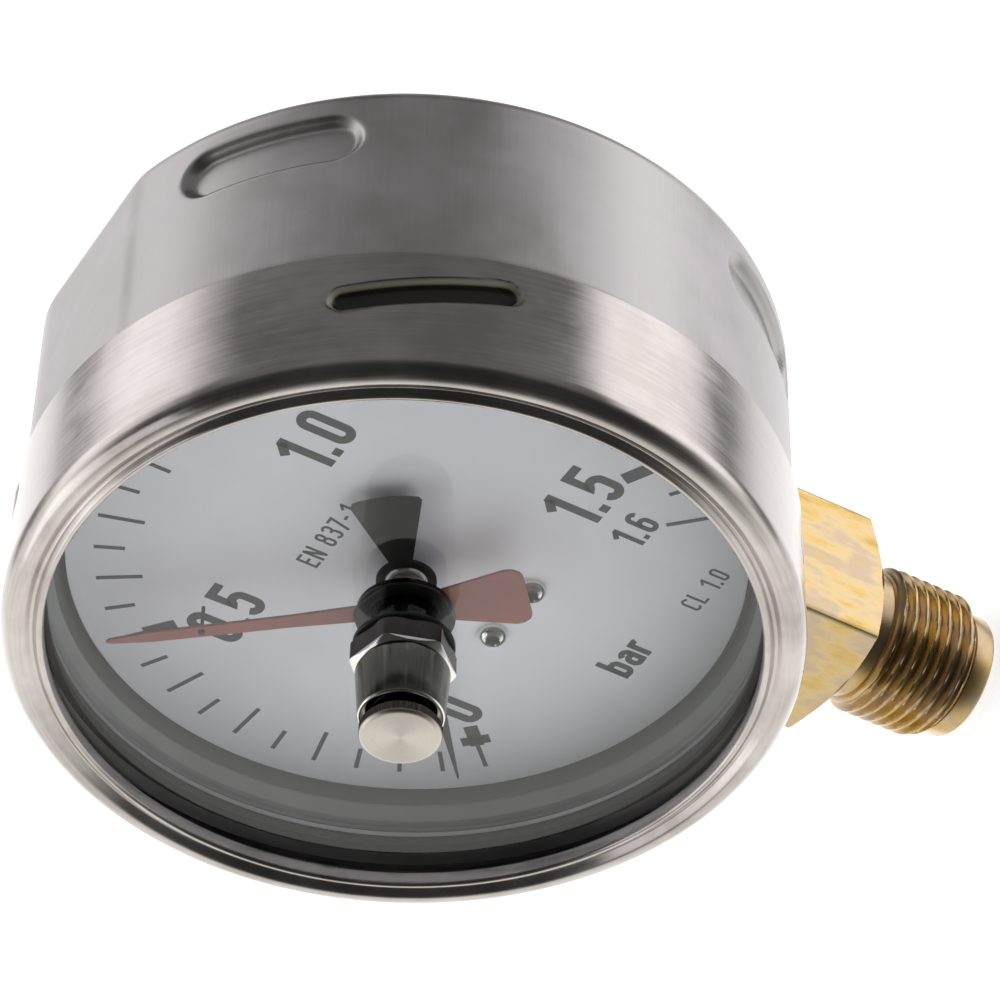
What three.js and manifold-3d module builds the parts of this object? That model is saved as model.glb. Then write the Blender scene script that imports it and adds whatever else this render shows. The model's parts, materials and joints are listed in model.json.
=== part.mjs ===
// A 100 mm Bourdon-tube pressure gauge with a drag pointer, as an assembly of separate pieces.
// Millimetres, +Z up. The dial faces -Y, the connection points down -Z, and the origin is the middle
// of the connection's lower end. Pieces on the dial's axis are made about that axis, which is parallel
// to Y, and sit in one group at its height. A profile is a list of [radius, y] points.
import * as THREE from "three";
import { mergeVertices } from "three/addons/utils/BufferGeometryUtils.js";
import Module from "manifold-3d";

const wasm = await Module();
wasm.setup();

// ---- driving dimensions -------------------------------------------------------------------------
const GAP = 0.3; // between pieces that touch
const ROUND = 48; // sides of the case and the ring
const DIAL_AXIS_Z = 87; // lower end of the connection to the dial's axis

const CASE_R = 49.5;
const CASE_BACK_Y = 15.5; // the connection's axis to the back of the case
const CASE_WALL = 1.2;
const CASE_CORNER_R = 3.6;
const CASE_STEP_Y = -16.7; // in front of this the case slips inside the ring
const CASE_RIM_Y = -28; // front of the rim that the gasket sits on
const CASE_RIM_T = 0.7;
const CASE_RIM_HOLE_R = 45.9;
const CASE_FLAT_H = 47.8; // dial's axis to the flat at 12 o'clock
const CASE_DENT = { first: 40, count: 4, length: 23, width: 8.6, depth: 1.2, y: 5.7 };

const RING_R = 50.5;
const RING_SHEET = 0.8;
const RING_FRONT_Y = -37;
const RING_REAR_Y = -17;
const RING_LIP_R = 45;
const RING_LIP_T = 2.1;
const RING_DENT = { first: 63, count: 4, length: 23, width: 3, depth: 0.95, y: -23.4, slant: 7 };
const RING_UNLOCK = 29; // degrees from locked to free

const WINDOW_FRONT_Y = -34.6;
const WINDOW_T = 4;
const WINDOW_R = 49.2;
const WINDOW_REAR_Y = WINDOW_FRONT_Y + WINDOW_T;

const DIAL_FRONT_Y = -21.7;
const DIAL_T = 0.8;
const DIAL_R = 43.6;
const DIAL_REAR_Y = DIAL_FRONT_Y + DIAL_T;
const DIAL_SCREW = { x: 4.9, z: -15.6, headR: 1.95, shankR: 1 };

const KNOB_FRONT_Y = -50.2;
const KNOB_R = 5.2;
const NUT_FLATS = 12;
const BUSHING_R = 4.2;
const SHAFT_R = 1.5;
const DRAG_Y = -28.8; // front face of the drag pointer
const DRAG_CLOCK = -40.5; // where it stands, degrees clockwise from 12 o'clock
const DRIVER_PIN_R = 26.4; // its distance from the axis

const POINTER_Y = -24.1; // front face of the instrument pointer
const POINTER_CLOCK = -129.8;
const POINTER_LENGTH = 38.9;

const BLOCK = 22; // across the stem's wrench flats
const BLOCK_END_Z = 20;
const THREAD = { r: 10.45, rootR: 9.4, pitch: 1.814, turns: 7, firstZ: 4.2 };
const COLLAR = { r: 8.75, length: 3 };
const PORT_R = 1.9;
const HEAD = { x0: -16, x1: 11, y: 7.5, z0: 44, z1: 60 }; // the stem's head inside the case

const PLATE = { x0: -13.5, x1: 18, z0: -22, z1: 12.5 }; // outline of the movement's plates
const FRONT_PLATE_Y = [-18, -16.8];
const BACK_PLATE_Y = [-9.3, -7.8];
const POSTS = [[-10, 8.5], [14.5, 8.5], [-10, -18.5]];

const MODULE = 0.3; // gear module
const PINION_TEETH = 12;
const SECTOR_FULL_TEETH = 120; // on a whole circle
const PINION_PITCH_R = (MODULE * PINION_TEETH) / 2;
const SECTOR_PITCH_R = (MODULE * SECTOR_FULL_TEETH) / 2;
const SECTOR_DIRECTION = -52.7; // degrees from +X, dial's axis to the sector's pivot
const SECTOR_SPAN = 40; // degrees of toothed arc
const SECTOR_SWING = 26.48;
const TAIL_R = 10; // sector's pivot to the link's pin
const LINK_LENGTH = 12;
const LINK_MID_DIRECTION = 36.87; // degrees from +X at half scale
const TIP_ARM = 45; // the tube end's effective radius of swing

const TUBE = { r: 34, halfWidth: 6, halfThick: 2.5, wall: 0.7, rootClock: 200, tipClock: 478 };

// ---- finishes -----------------------------------------------------------------------------------
function finish(color, roughness, metalness) {
  return () => new THREE.MeshStandardMaterial({ color, roughness, metalness });
}

const steel = finish(0xb9b6b2, 0.3, 1);
const darkSteel = finish(0x4a4845, 0.25, 1);
const satinSteel = finish(0xe2dbd3, 0.4, 1);
const brass = finish(0xc9a35c, 0.35, 1);
const copper = finish(0xb87f4e, 0.4, 1);
const rubber = finish(0x1c1c1c, 0.8, 0);
const greyPlastic = finish(0x606060, 0.6, 0);
const dialWhite = finish(0xe9ebee, 0.6, 0);
const pointerBlack = finish(0x141414, 0.6, 0);
const pointerRed = finish(0xb04a42, 0.6, 0);
const clearPane = () => {
  const pane = finish(0xf4f8f8, 0.05, 0)();
  pane.transparent = true;
  pane.opacity = 0.2;
  return pane;
};

// ---- shapes -------------------------------------------------------------------------------------
function solid(geometry) {
  const bare = new THREE.BufferGeometry();
  bare.setAttribute("position", geometry.getAttribute("position"));
  bare.setIndex(geometry.index);
  const welded = mergeVertices(bare, 1e-4);
  const mesh = new wasm.Mesh({
    numProp: 3,
    vertProperties: welded.getAttribute("position").array,
    triVerts: new Uint32Array(welded.index.array),
  });
  return new wasm.Manifold(mesh);
}

function geometryOf(body) {
  const mesh = body.getMesh();
  const geometry = new THREE.BufferGeometry();
  geometry.setAttribute("position", new THREE.BufferAttribute(mesh.vertProperties, 3));
  geometry.setIndex(new THREE.BufferAttribute(mesh.triVerts, 1));
  geometry.computeVertexNormals();
  return geometry;
}

function join(first, ...rest) {
  return rest.reduce((sum, next) => sum.add(next), first);
}

function cut(first, ...rest) {
  return rest.reduce((left, tool) => left.subtract(tool), first);
}

function radians(degrees) {
  return THREE.MathUtils.degToRad(degrees);
}

// A point on the dial at a clock angle, in degrees clockwise from 12 o'clock.
function atClock(degrees, radius) {
  return [radius * Math.sin(radians(degrees)), radius * Math.cos(radians(degrees))];
}

function polar(centre, radius, degrees) {
  return [
    centre[0] + radius * Math.cos(radians(degrees)),
    centre[1] + radius * Math.sin(radians(degrees)),
  ];
}

function arc(centre, radius, from, to, steps) {
  const points = [];
  for (let i = 0; i <= steps; i += 1) {
    points.push(polar(centre, radius, from + ((to - from) * i) / steps));
  }
  return points;
}

// Turns a closed profile of [radius, y] points about the Y axis, with its faces pointing out.
function revolve(profile, segments = 24) {
  const points = profile.map(([r, y]) => new THREE.Vector2(r, y));
  if (THREE.ShapeUtils.area(points) < 0) points.reverse();
  points.push(points[0].clone());
  return solid(new THREE.LatheGeometry(points, segments));
}

function tube(outerR, innerR, y0, y1, segments = 16) {
  return revolve([[innerR, y0], [outerR, y0], [outerR, y1], [innerR, y1]], segments);
}

// The same profile about the Z axis, so y becomes z.
function revolveUp(profile, segments = 24) {
  return revolve(profile, segments).rotate([90, 0, 0]);
}

function rod(radius, y0, y1, [x, z] = [0, 0], segments = 10) {
  const bar = new THREE.CylinderGeometry(radius, radius, y1 - y0, segments);
  bar.translate(x, (y0 + y1) / 2, z);
  return solid(bar);
}

function block(x0, x1, y0, y1, z0, z1) {
  const bar = new THREE.BoxGeometry(x1 - x0, y1 - y0, z1 - z0);
  bar.translate((x0 + x1) / 2, (y0 + y1) / 2, (z0 + z1) / 2);
  return solid(bar);
}

// Extrudes an outline in the dial's plane, given as [x, z] points, from y0 to y1.
function plate(outline, y0, y1) {
  const shape = new THREE.Shape(outline.map(([x, z]) => new THREE.Vector2(x, z)));
  const slab = new THREE.ExtrudeGeometry(shape, { depth: y1 - y0, bevelEnabled: false });
  slab.rotateX(Math.PI / 2);
  slab.translate(0, y1, 0);
  return solid(slab.index ? slab : mergeVertices(slab));
}

function stadium(length, width, steps = 5) {
  const run = (length - width) / 2;
  return [
    ...arc([run, 0], width / 2, -90, 90, steps),
    ...arc([-run, 0], width / 2, 90, 270, steps),
  ];
}

// A stadium-shaped plug that stands on the rim of a drum: its length runs round the drum.
function rimPlug(dent, clock, grow, r0, r1) {
  const outline = stadium(dent.length + grow, dent.width + grow);
  return plate(outline, r0, r1)
    .rotate([0, dent.slant ?? 0, 0])
    .rotate([90, 0, 0])
    .translate([0, dent.y, 0])
    .rotate([0, clock, 0]);
}

// ---- case and ring ------------------------------------------------------------------------------
const NECK_R = CASE_R - CASE_WALL; // outside of the part of the case that is inside the ring

function dentClocks(dent) {
  return Array.from({ length: dent.count }, (_, i) => dent.first + (360 / dent.count) * i);
}

function caseShell() {
  const inner = NECK_R - CASE_WALL;
  const backInside = CASE_BACK_Y - CASE_WALL;
  const corner = [CASE_R - CASE_CORNER_R, CASE_BACK_Y - CASE_CORNER_R];
  const outerCorner = arc(corner, CASE_CORNER_R, 0, 90, 4);
  const innerCorner = arc(corner, CASE_CORNER_R - CASE_WALL, 90, 0, 2);
  const drum = revolve([[0, CASE_STEP_Y], [CASE_R, CASE_STEP_Y], ...outerCorner, [0, CASE_BACK_Y]], ROUND);
  let shell = revolve(
    [
      [CASE_RIM_HOLE_R, CASE_RIM_Y],
      [RING_R - RING_SHEET - GAP, CASE_RIM_Y],
      [RING_R - RING_SHEET - GAP, CASE_RIM_Y + CASE_RIM_T],
      [NECK_R, CASE_RIM_Y + CASE_RIM_T],
      [NECK_R, CASE_STEP_Y - 0.3],
      [CASE_R, CASE_STEP_Y],
      ...outerCorner,
      [0, CASE_BACK_Y],
      [0, backInside],
      ...innerCorner,
      [NECK_R, CASE_STEP_Y + 0.4],
      [inner, CASE_STEP_Y - 0.2],
      [inner, CASE_RIM_Y + CASE_RIM_T],
      [CASE_RIM_HOLE_R, CASE_RIM_Y + CASE_RIM_T],
    ],
    ROUND,
  );
  const flatInside = CASE_FLAT_H - CASE_WALL;
  const flatWall = block(-13.2, 13.2, CASE_STEP_Y, backInside, flatInside, CASE_FLAT_H);
  shell = shell.add(flatWall.intersect(drum));
  shell = cut(shell, block(-20, 20, CASE_STEP_Y, 20, CASE_FLAT_H, CASE_R + 1));
  for (const clock of dentClocks(CASE_DENT)) {
    const floor = CASE_R - CASE_DENT.depth;
    shell = shell.add(rimPlug(CASE_DENT, clock, 2, floor - 1, floor + 0.4).intersect(drum));
    shell = cut(shell, rimPlug(CASE_DENT, clock, 0, floor, CASE_R + 3));
  }
  for (const clock of dentClocks(RING_DENT)) {
    const notch = plate([[0, 0], ...arc([0, 0], 60, 74, 106, 6)], CASE_RIM_Y - 1, CASE_RIM_Y + 1.5)
      .rotate([0, clock - RING_UNLOCK, 0]);
    const past = notch.intersect(tube(60, NECK_R, CASE_RIM_Y - 1, CASE_RIM_Y + 1.5, ROUND));
    shell = cut(shell, past);
  }
  const half = BLOCK / 2 + GAP;
  const stemHole = block(-half, half, -half, half, -60, -30);
  return cut(shell, stemHole, rod(BLOWOUT.r + GAP, 10, 20, BLOWOUT.at, 32));
}

function bayonetRing() {
  const inner = RING_R - RING_SHEET;
  let ring = revolve(
    [
      [inner, RING_REAR_Y],
      [RING_R, RING_REAR_Y],
      ...arc([RING_R - 1.8, RING_FRONT_Y + 1.8], 1.8, 0, -90, 3),
      [46.6, RING_FRONT_Y],
      [46.3, RING_FRONT_Y + 0.25],
      ...arc([RING_LIP_R + 0.8, RING_FRONT_Y + 1], 0.8, -90, -180, 2),
      [RING_LIP_R, RING_FRONT_Y + RING_LIP_T],
      [inner - 0.8, RING_FRONT_Y + RING_LIP_T],
      [inner, RING_FRONT_Y + RING_LIP_T + 0.6],
    ],
    ROUND,
  );
  const floor = RING_R - RING_DENT.depth;
  const bump = tube(floor + 0.2, floor - RING_SHEET, -32, RING_REAR_Y, ROUND);
  const beyond = tube(RING_R + 3, floor, -32, RING_REAR_Y, ROUND);
  for (const clock of dentClocks(RING_DENT)) {
    ring = ring.add(rimPlug(RING_DENT, clock, 1, 40, 55).intersect(bump));
    ring = cut(ring, rimPlug(RING_DENT, clock, 0, 40, 55).intersect(beyond));
  }
  return ring;
}

function windowGasket() {
  return revolve([
    [RING_LIP_R, WINDOW_REAR_Y + GAP],
    [WINDOW_R, WINDOW_REAR_Y + GAP],
    [WINDOW_R, CASE_RIM_Y - GAP],
    [CASE_RIM_HOLE_R, CASE_RIM_Y - GAP],
  ], 48);
}

function supportRing() {
  const outer = NECK_R - CASE_WALL - GAP;
  return revolve([
    [46.3, CASE_RIM_Y + CASE_RIM_T + GAP],
    [outer, CASE_RIM_Y + CASE_RIM_T + GAP],
    [outer, -20.5],
    [44.4, -20.5],
    [45, -23.6],
    [45.9, -26.4],
  ], 40);
}

const BLOWOUT = { at: [0, 20], r: 11, lip: 1.5, lipT: 0.8 };

function blowoutPlug() {
  const inside = CASE_BACK_Y - CASE_WALL - GAP;
  return revolve([
    [0, inside - BLOWOUT.lipT],
    [BLOWOUT.r + BLOWOUT.lip, inside - BLOWOUT.lipT],
    [BLOWOUT.r + BLOWOUT.lip, inside],
    [BLOWOUT.r, inside],
    [BLOWOUT.r, CASE_BACK_Y - 0.4],
    [BLOWOUT.r - 0.6, CASE_BACK_Y],
    [0, CASE_BACK_Y],
  ], 24);
}

// ---- stem ---------------------------------------------------------------------------------------
const CASE_STUDS = [[-12, 49.3], [7.6, 49.3]];
const MOVEMENT_SCREWS = [[-5, 54.5], [0.8, 54.5]];
const STUD_R = 1.9;

function threadProfile() {
  const points = [[0, COLLAR.length - 0.5], [COLLAR.r, COLLAR.length - 0.5]];
  for (let i = 0; i < THREAD.turns; i += 1) {
    const z = THREAD.firstZ + i * THREAD.pitch;
    const crest = i === 0 ? THREAD.r - 0.4 : THREAD.r;
    points.push([THREAD.rootR, z - 0.85], [crest, z - 0.22], [crest, z + 0.22], [THREAD.rootR, z + 0.85]);
  }
  points.push([9, 16.4], [9, BLOCK_END_Z + 1], [0, BLOCK_END_Z + 1]);
  return points;
}

function stem() {
  const half = BLOCK / 2;
  const chamfer = revolveUp([[0, BLOCK_END_Z], [11.5, BLOCK_END_Z], [17, BLOCK_END_Z + 2], [17, 70], [0, 70]], 48);
  const bar = block(-half, half, -half, half, BLOCK_END_Z, HEAD.z0 + 0.5).intersect(chamfer);
  const head = block(HEAD.x0, HEAD.x1, -HEAD.y, HEAD.y, HEAD.z0, HEAD.z1);
  const collar = revolveUp([[0, 0], [COLLAR.r - 0.4, 0], [COLLAR.r, 0.4], [COLLAR.r, COLLAR.length], [0, COLLAR.length]]);
  const body = join(collar, revolveUp(threadProfile(), 24), bar, head);
  const port = revolveUp([[0, -1], [PORT_R, -1], [PORT_R, 56.5], [0, 56.5]], 20);
  const crossPort = block(-12.5, 0, -1.4, 1.4, 54, 56.2);
  const pocket = bourdonSweep(TUBE.halfWidth + GAP, TUBE.halfThick + GAP, TUBE.rootClock - 1, 230)
    .translate([0, 0, DIAL_AXIS_Z]);
  const studHoles = CASE_STUDS.map((at) => rod(STUD_R + GAP, -HEAD.y - 1, HEAD.y + 1, at));
  const screwHoles = MOVEMENT_SCREWS.map((at) => rod(1.5, -HEAD.y - 1, -3.8, at));
  return cut(body, port, crossPort, pocket, ...studHoles, ...screwHoles);
}

function stemSeal() {
  const hole = BLOCK / 2 + GAP;
  return cut(block(-15, 15, -13.5, 13.5, 0, 1.5), block(-hole, hole, -hole, hole, -1, 3));
}

// ---- Bourdon tube and its end -------------------------------------------------------------------
class DialArc extends THREE.Curve {
  constructor(radius, from, to) {
    super();
    this.radius = radius;
    this.from = from;
    this.to = to;
  }

  getPoint(t, target = new THREE.Vector3()) {
    const [x, z] = atClock(this.from + (this.to - this.from) * t, this.radius);
    return target.set(x, 0, z);
  }
}

// An oval section swept along an arc of the tube's radius between two clock angles.
function bourdonSweep(halfWidth, halfThick, from, to) {
  const section = new THREE.Shape().absellipse(0, 0, halfWidth, halfThick, 0, Math.PI * 2);
  const sweep = new THREE.ExtrudeGeometry(section, {
    steps: Math.max(2, Math.round((to - from) / 9)),
    curveSegments: 5,
    extrudePath: new DialArc(TUBE.r, from, to),
  });
  return solid(mergeVertices(sweep));
}

function bourdonTube() {
  const outside = bourdonSweep(TUBE.halfWidth, TUBE.halfThick, TUBE.rootClock, TUBE.tipClock);
  const inside = bourdonSweep(
    TUBE.halfWidth - TUBE.wall,
    TUBE.halfThick - TUBE.wall,
    TUBE.rootClock - 2,
    TUBE.tipClock - 3,
  );
  return cut(outside, inside);
}

// The four-bar linkage: the tube's end and the sector's tail, joined by the link.
const SECTOR_PIVOT = polar([0, 0], PINION_PITCH_R + SECTOR_PITCH_R, SECTOR_DIRECTION);
const TAIL_MID = polar(SECTOR_PIVOT, TAIL_R, LINK_MID_DIRECTION - 90);
const TIP_PIN_MID = polar(TAIL_MID, LINK_LENGTH, LINK_MID_DIRECTION);
const TIP_PIVOT = polar(TIP_PIN_MID, TIP_ARM, LINK_MID_DIRECTION + 90);
const TAIL_PIN = polar(SECTOR_PIVOT, TAIL_R, LINK_MID_DIRECTION - 90 - SECTOR_SWING / 2);
const TIP_PIN = tipPinAtRest();

// The tube's end pin at rest: on its own arc about the swing centre, one link from the tail's pin.
function tipPinAtRest() {
  let low = -10;
  let high = 0;
  for (let i = 0; i < 50; i += 1) {
    const middle = (low + high) / 2;
    const [x, z] = polar(TIP_PIVOT, TIP_ARM, LINK_MID_DIRECTION - 90 + middle);
    const apart = Math.hypot(x - TAIL_PIN[0], z - TAIL_PIN[1]);
    if (apart < LINK_LENGTH) low = middle;
    else high = middle;
  }
  return polar(TIP_PIVOT, TIP_ARM, LINK_MID_DIRECTION - 90 + low);
}

const PIN_R = 0.9;
const LINK_Y = [-11.9, -11.1];

function tubeEndPiece() {
  const capFrom = TUBE.tipClock - 4;
  const capTo = TUBE.tipClock + 3;
  const cap = bourdonSweep(TUBE.halfWidth + 1.3, TUBE.halfThick + 1.3, capFrom, capTo);
  const socket = bourdonSweep(TUBE.halfWidth + GAP, TUBE.halfThick + GAP, capFrom - 1, TUBE.tipClock + 0.6);
  const arm = rod(3, -10.6, -4, TIP_PIN, 20);
  const web = plate([
    polar(TIP_PIN, 3, 160),
    polar(TIP_PIN, 3, 250),
    atClock(TUBE.tipClock + 2.8, TUBE.r + 2),
    atClock(TUBE.tipClock - 1.5, TUBE.r + 2),
  ], -10.6, -6.4);
  const pinHole = rod(PIN_R + GAP, -12, -5.6, TIP_PIN);
  return cut(join(cap, arm, web), socket, pinHole);
}

function linkBar() {
  const along = Math.atan2(TIP_PIN[1] - TAIL_PIN[1], TIP_PIN[0] - TAIL_PIN[0]);
  const degrees = THREE.MathUtils.radToDeg(along);
  const outline = [
    ...arc(TIP_PIN, 2, degrees - 90, degrees + 90, 8),
    ...arc(TAIL_PIN, 2, degrees + 90, degrees + 270, 8),
  ];
  const bar = plate(outline, ...LINK_Y);
  const holes = [TIP_PIN, TAIL_PIN].map((at) => rod(PIN_R + GAP, LINK_Y[0] - 1, LINK_Y[1] + 1, at));
  return cut(bar, ...holes);
}

// A headed pin: the head is at the front.
function headedPin(radius, y0, y1) {
  return join(rod(radius, y0, y1), rod(radius * 1.7, y0 - 0.6, y0 + 0.01));
}

// ---- movement -----------------------------------------------------------------------------------
const SECTOR_Y = [-13.4, -12.2];
const PINION_Y = [-14.2, -11.4];
const ARBOR_R = 0.9;
const SECTOR_ARBOR_R = 1;

// Teeth on an arc, as [angle, radius] corners: each tooth is centred on its own angle.
function teeth(first, count, step, rootR, tipR, halfRoot, halfTip) {
  const points = [];
  for (let i = 0; i < count; i += 1) {
    const centre = first + i * step;
    points.push([centre - halfRoot, rootR], [centre - halfTip, tipR]);
    points.push([centre + halfTip, tipR], [centre + halfRoot, rootR]);
  }
  return points;
}

function pinion() {
  const step = 360 / PINION_TEETH;
  const outline = teeth(
    SECTOR_DIRECTION,
    PINION_TEETH,
    step,
    PINION_PITCH_R - 0.38,
    PINION_PITCH_R + 0.22,
    8.5,
    2.6,
  ).map(([angle, r]) => polar([0, 0], r, angle));
  const wheel = plate(outline, ...PINION_Y);
  return join(wheel, rod(ARBOR_R, -24.4, -8.1, [0, 0], 20));
}

function sectorGear() {
  const step = 360 / SECTOR_FULL_TEETH;
  const toPinion = SECTOR_DIRECTION + 180;
  const middle = toPinion - SECTOR_SWING / 2;
  const count = Math.round(SECTOR_SPAN / step);
  const first = toPinion + step / 2 - step * Math.round((toPinion - middle + SECTOR_SPAN / 2) / step);
  const last = first + (count - 1) * step;
  const rim = teeth(first, count, step, SECTOR_PITCH_R - 0.34, SECTOR_PITCH_R + 0.2, 0.9, 0.26)
    .map(([angle, r]) => polar(SECTOR_PIVOT, r, angle));
  const innerR = SECTOR_PITCH_R - 3;
  const web = plate([...rim, ...arc(SECTOR_PIVOT, innerR, last + 1, first - 1, 12)], ...SECTOR_Y);
  const spokes = [first + 4, last - 4].map((angle) => plate([
    polar(SECTOR_PIVOT, 3, angle + 50),
    polar(SECTOR_PIVOT, 3, angle - 50),
    polar(SECTOR_PIVOT, innerR + 1, angle - 4),
    polar(SECTOR_PIVOT, innerR + 1, angle + 4),
  ], ...SECTOR_Y));
  const tailAngle = LINK_MID_DIRECTION - 90 - SECTOR_SWING / 2;
  const tail = plate([
    ...arc(SECTOR_PIVOT, 3.4, tailAngle + 90, tailAngle + 270, 10),
    ...arc(TAIL_PIN, 2.4, tailAngle - 90, tailAngle + 90, 8),
  ], ...SECTOR_Y);
  const slot = plate([
    ...arc(polar(TAIL_PIN, 0.5, tailAngle + 180), PIN_R + GAP, tailAngle + 90, tailAngle + 270, 8),
    ...arc(polar(TAIL_PIN, 0.5, tailAngle), PIN_R + GAP, tailAngle - 90, tailAngle + 90, 8),
  ], SECTOR_Y[0] - 1, SECTOR_Y[1] + 1);
  const bore = rod(SECTOR_ARBOR_R + GAP, SECTOR_Y[0] - 1, SECTOR_Y[1] + 1, SECTOR_PIVOT);
  return cut(join(tail, web, ...spokes), slot, bore);
}

function sectorArbor() {
  const collars = join(rod(2, SECTOR_Y[0] - 1.1, SECTOR_Y[0] - GAP), rod(2, SECTOR_Y[1] + GAP, -10.8));
  return join(collars, rod(SECTOR_ARBOR_R, -17.7, -8.1));
}

function movementPlate([y0, y1], lowEnd) {
  const { x0, x1, z0, z1 } = PLATE;
  const outline = [[x0, z0], ...lowEnd, [x1, z0], [x1, z1 - 3], [x1 - 3, z1], [x0 + 3, z1], [x0, z1 - 3]];
  return plate(outline, y0, y1);
}

function movementHoles([y0, y1], radius) {
  return [
    rod(ARBOR_R + GAP, y0 - 1, y1 + 1),
    rod(SECTOR_ARBOR_R + GAP, y0 - 1, y1 + 1, SECTOR_PIVOT),
    ...POSTS.map((at) => rod(radius, y0 - 1, y1 + 1, at)),
  ];
}

function frontPlate() {
  const pillarHoles = [-1, 1].map((side) =>
    rod(1.3, FRONT_PLATE_Y[0] - 1, FRONT_PLATE_Y[1] + 1, [side * DIAL_SCREW.x, DIAL_SCREW.z]));
  return cut(movementPlate(FRONT_PLATE_Y, []), ...movementHoles(FRONT_PLATE_Y, 1.3), ...pillarHoles);
}

function backPlate() {
  const low = 50 - DIAL_AXIS_Z;
  const tongue = [[-7.6, PLATE.z0], [-7.6, low], [3.3, low], [3.3, PLATE.z0]];
  const screwHoles = MOVEMENT_SCREWS.map(([x, z]) =>
    rod(1.5, BACK_PLATE_Y[0] - 1, BACK_PLATE_Y[1] + 1, [x, z - DIAL_AXIS_Z]));
  return cut(movementPlate(BACK_PLATE_Y, tongue), ...movementHoles(BACK_PLATE_Y, 1.3), ...screwHoles);
}

// A post between the plates, with a spigot in the back plate and a screw hole at its front.
function post() {
  const front = FRONT_PLATE_Y[1] + GAP;
  const back = BACK_PLATE_Y[0] - GAP;
  return cut(join(rod(2, front, back), rod(1, back - 0.1, BACK_PLATE_Y[1])), rod(1.2, front - 1, front + 3.4));
}

// A slotted pan-head screw that points along +Y, with the underside of its head at y = 0.
function panScrew(headR, headH, shankR, length) {
  const head = revolve([[0, -headH], [headR - 0.5, -headH], [headR, -headH + 0.5], [headR, 0], [0, 0]], 12);
  const slot = block(-headR, headR, -headH - 1, -headH + 0.5, -0.25, 0.25);
  return join(cut(head, slot), rod(shankR, -0.3, length));
}

// A pan-head screw with a six-sided recess.
function dialScrew() {
  const { headR, shankR } = DIAL_SCREW;
  const dome = revolve([[0, -1.3], [0.9, -1.25], [1.6, -0.95], [headR, -0.4], [headR, 0], [0, 0]], 20);
  return join(cut(dome, rod(0.85, -2, -0.6, [0, 0], 6)), rod(shankR, -0.3, 2.4));
}

function dialPillar() {
  const front = DIAL_REAR_Y + GAP;
  const body = join(rod(2.2, front, FRONT_PLATE_Y[0] - GAP), rod(1, -18.4, -16.9));
  return cut(body, rod(1.3, front - 1, -19.2));
}

function hairspring() {
  const turns = 3.25;
  const steps = 42;
  const spiral = (grow) => Array.from({ length: steps + 1 }, (_, i) => {
    const t = i / steps;
    return polar([0, 0], 2.6 + 3.6 * t + grow, 360 * turns * t);
  });
  return plate([...spiral(0.14), ...spiral(-0.14).reverse()], -16.1, -15.2);
}

function dialPlate() {
  const screwHoles = [-1, 1].map((side) =>
    rod(DIAL_SCREW.shankR + GAP, DIAL_FRONT_Y - 1, DIAL_REAR_Y + 1, [side * DIAL_SCREW.x, DIAL_SCREW.z]));
  return cut(tube(DIAL_R, 2.6, DIAL_FRONT_Y, DIAL_REAR_Y, 48), ...screwHoles);
}

// ---- pointers -----------------------------------------------------------------------------------
// A pointer that lies along 12 o'clock, with its tail at 6 o'clock. Points are [half width, z].
function pointerOutline(halves) {
  const right = halves.map(([half, z]) => [half, z]);
  const left = halves.map(([half, z]) => [-half, z]).reverse();
  return [...right, ...left];
}

function instrumentPointer() {
  const blade = [[0.2, POINTER_LENGTH], [0.75, 24], [1.1, 3]];
  const tail = [[1.5, -3], [4.7, -14.7]];
  const fan = arc([0, 0], 15.4, -72.4, -90, 4).map(([x, z]) => [Math.max(x, 0.01), z]);
  const leaf = plate(pointerOutline([...blade, ...tail.slice(0, 1), ...fan]), POINTER_Y, POINTER_Y + 0.4);
  const eye = rod(3.9, POINTER_Y, POINTER_Y + 0.4, [0, 0], 32);
  return cut(leaf.add(eye), rod(ARBOR_R + GAP, POINTER_Y - 1, POINTER_Y + 1));
}

function pointerHub() {
  const front = POINTER_Y - GAP;
  const cap = revolve([[0, front - 0.8], [1.6, front - 0.8], [2.4, front - 0.2], [2.4, front], [0, front]], 20);
  return cut(cap, rod(ARBOR_R + GAP, front - 0.45, front + 1));
}

function dragPointer() {
  const blade = [[0.3, 38.6], [0.9, 33], [1.55, 6]];
  const tail = [[2.2, -5], [4.9, -13.4], [4.5, -15], [3.6, -15.7]];
  const leaf = plate(pointerOutline([...blade, ...tail]), DRAG_Y, DRAG_Y + 0.4);
  const eye = rod(4.6, DRAG_Y, DRAG_Y + 0.4, [0, 0], 32);
  const pinHole = rod(0.5 + GAP, DRAG_Y - 1, DRAG_Y + 1, [0, DRIVER_PIN_R], 12);
  return cut(leaf.add(eye), rod(SHAFT_R + GAP, DRAG_Y - 1, DRAG_Y + 1), pinHole);
}

// ---- knob and its bushing -----------------------------------------------------------------------
const NUT_Y = [-39.3, -35.8];
const CONE_Y = [-47.1, -39.6];
const BUSHING_REAR_Y = -29.1;

function knobDisc() {
  const rear = KNOB_FRONT_Y + 1.65;
  const ribs = 30;
  const outline = [];
  for (let i = 0; i < ribs; i += 1) {
    outline.push(polar([0, 0], KNOB_R, (i * 360) / ribs));
    outline.push(polar([0, 0], KNOB_R - 0.22, ((i + 0.5) * 360) / ribs));
  }
  const face = revolve([
    [0, KNOB_FRONT_Y],
    [KNOB_R - 0.3, KNOB_FRONT_Y],
    [KNOB_R, KNOB_FRONT_Y + 0.3],
    [KNOB_R, rear],
    [0, rear],
  ]);
  const disc = plate(outline, KNOB_FRONT_Y, rear).intersect(face);
  return cut(disc, rod(SHAFT_R + GAP, KNOB_FRONT_Y + 0.7, rear + 1));
}

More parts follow.
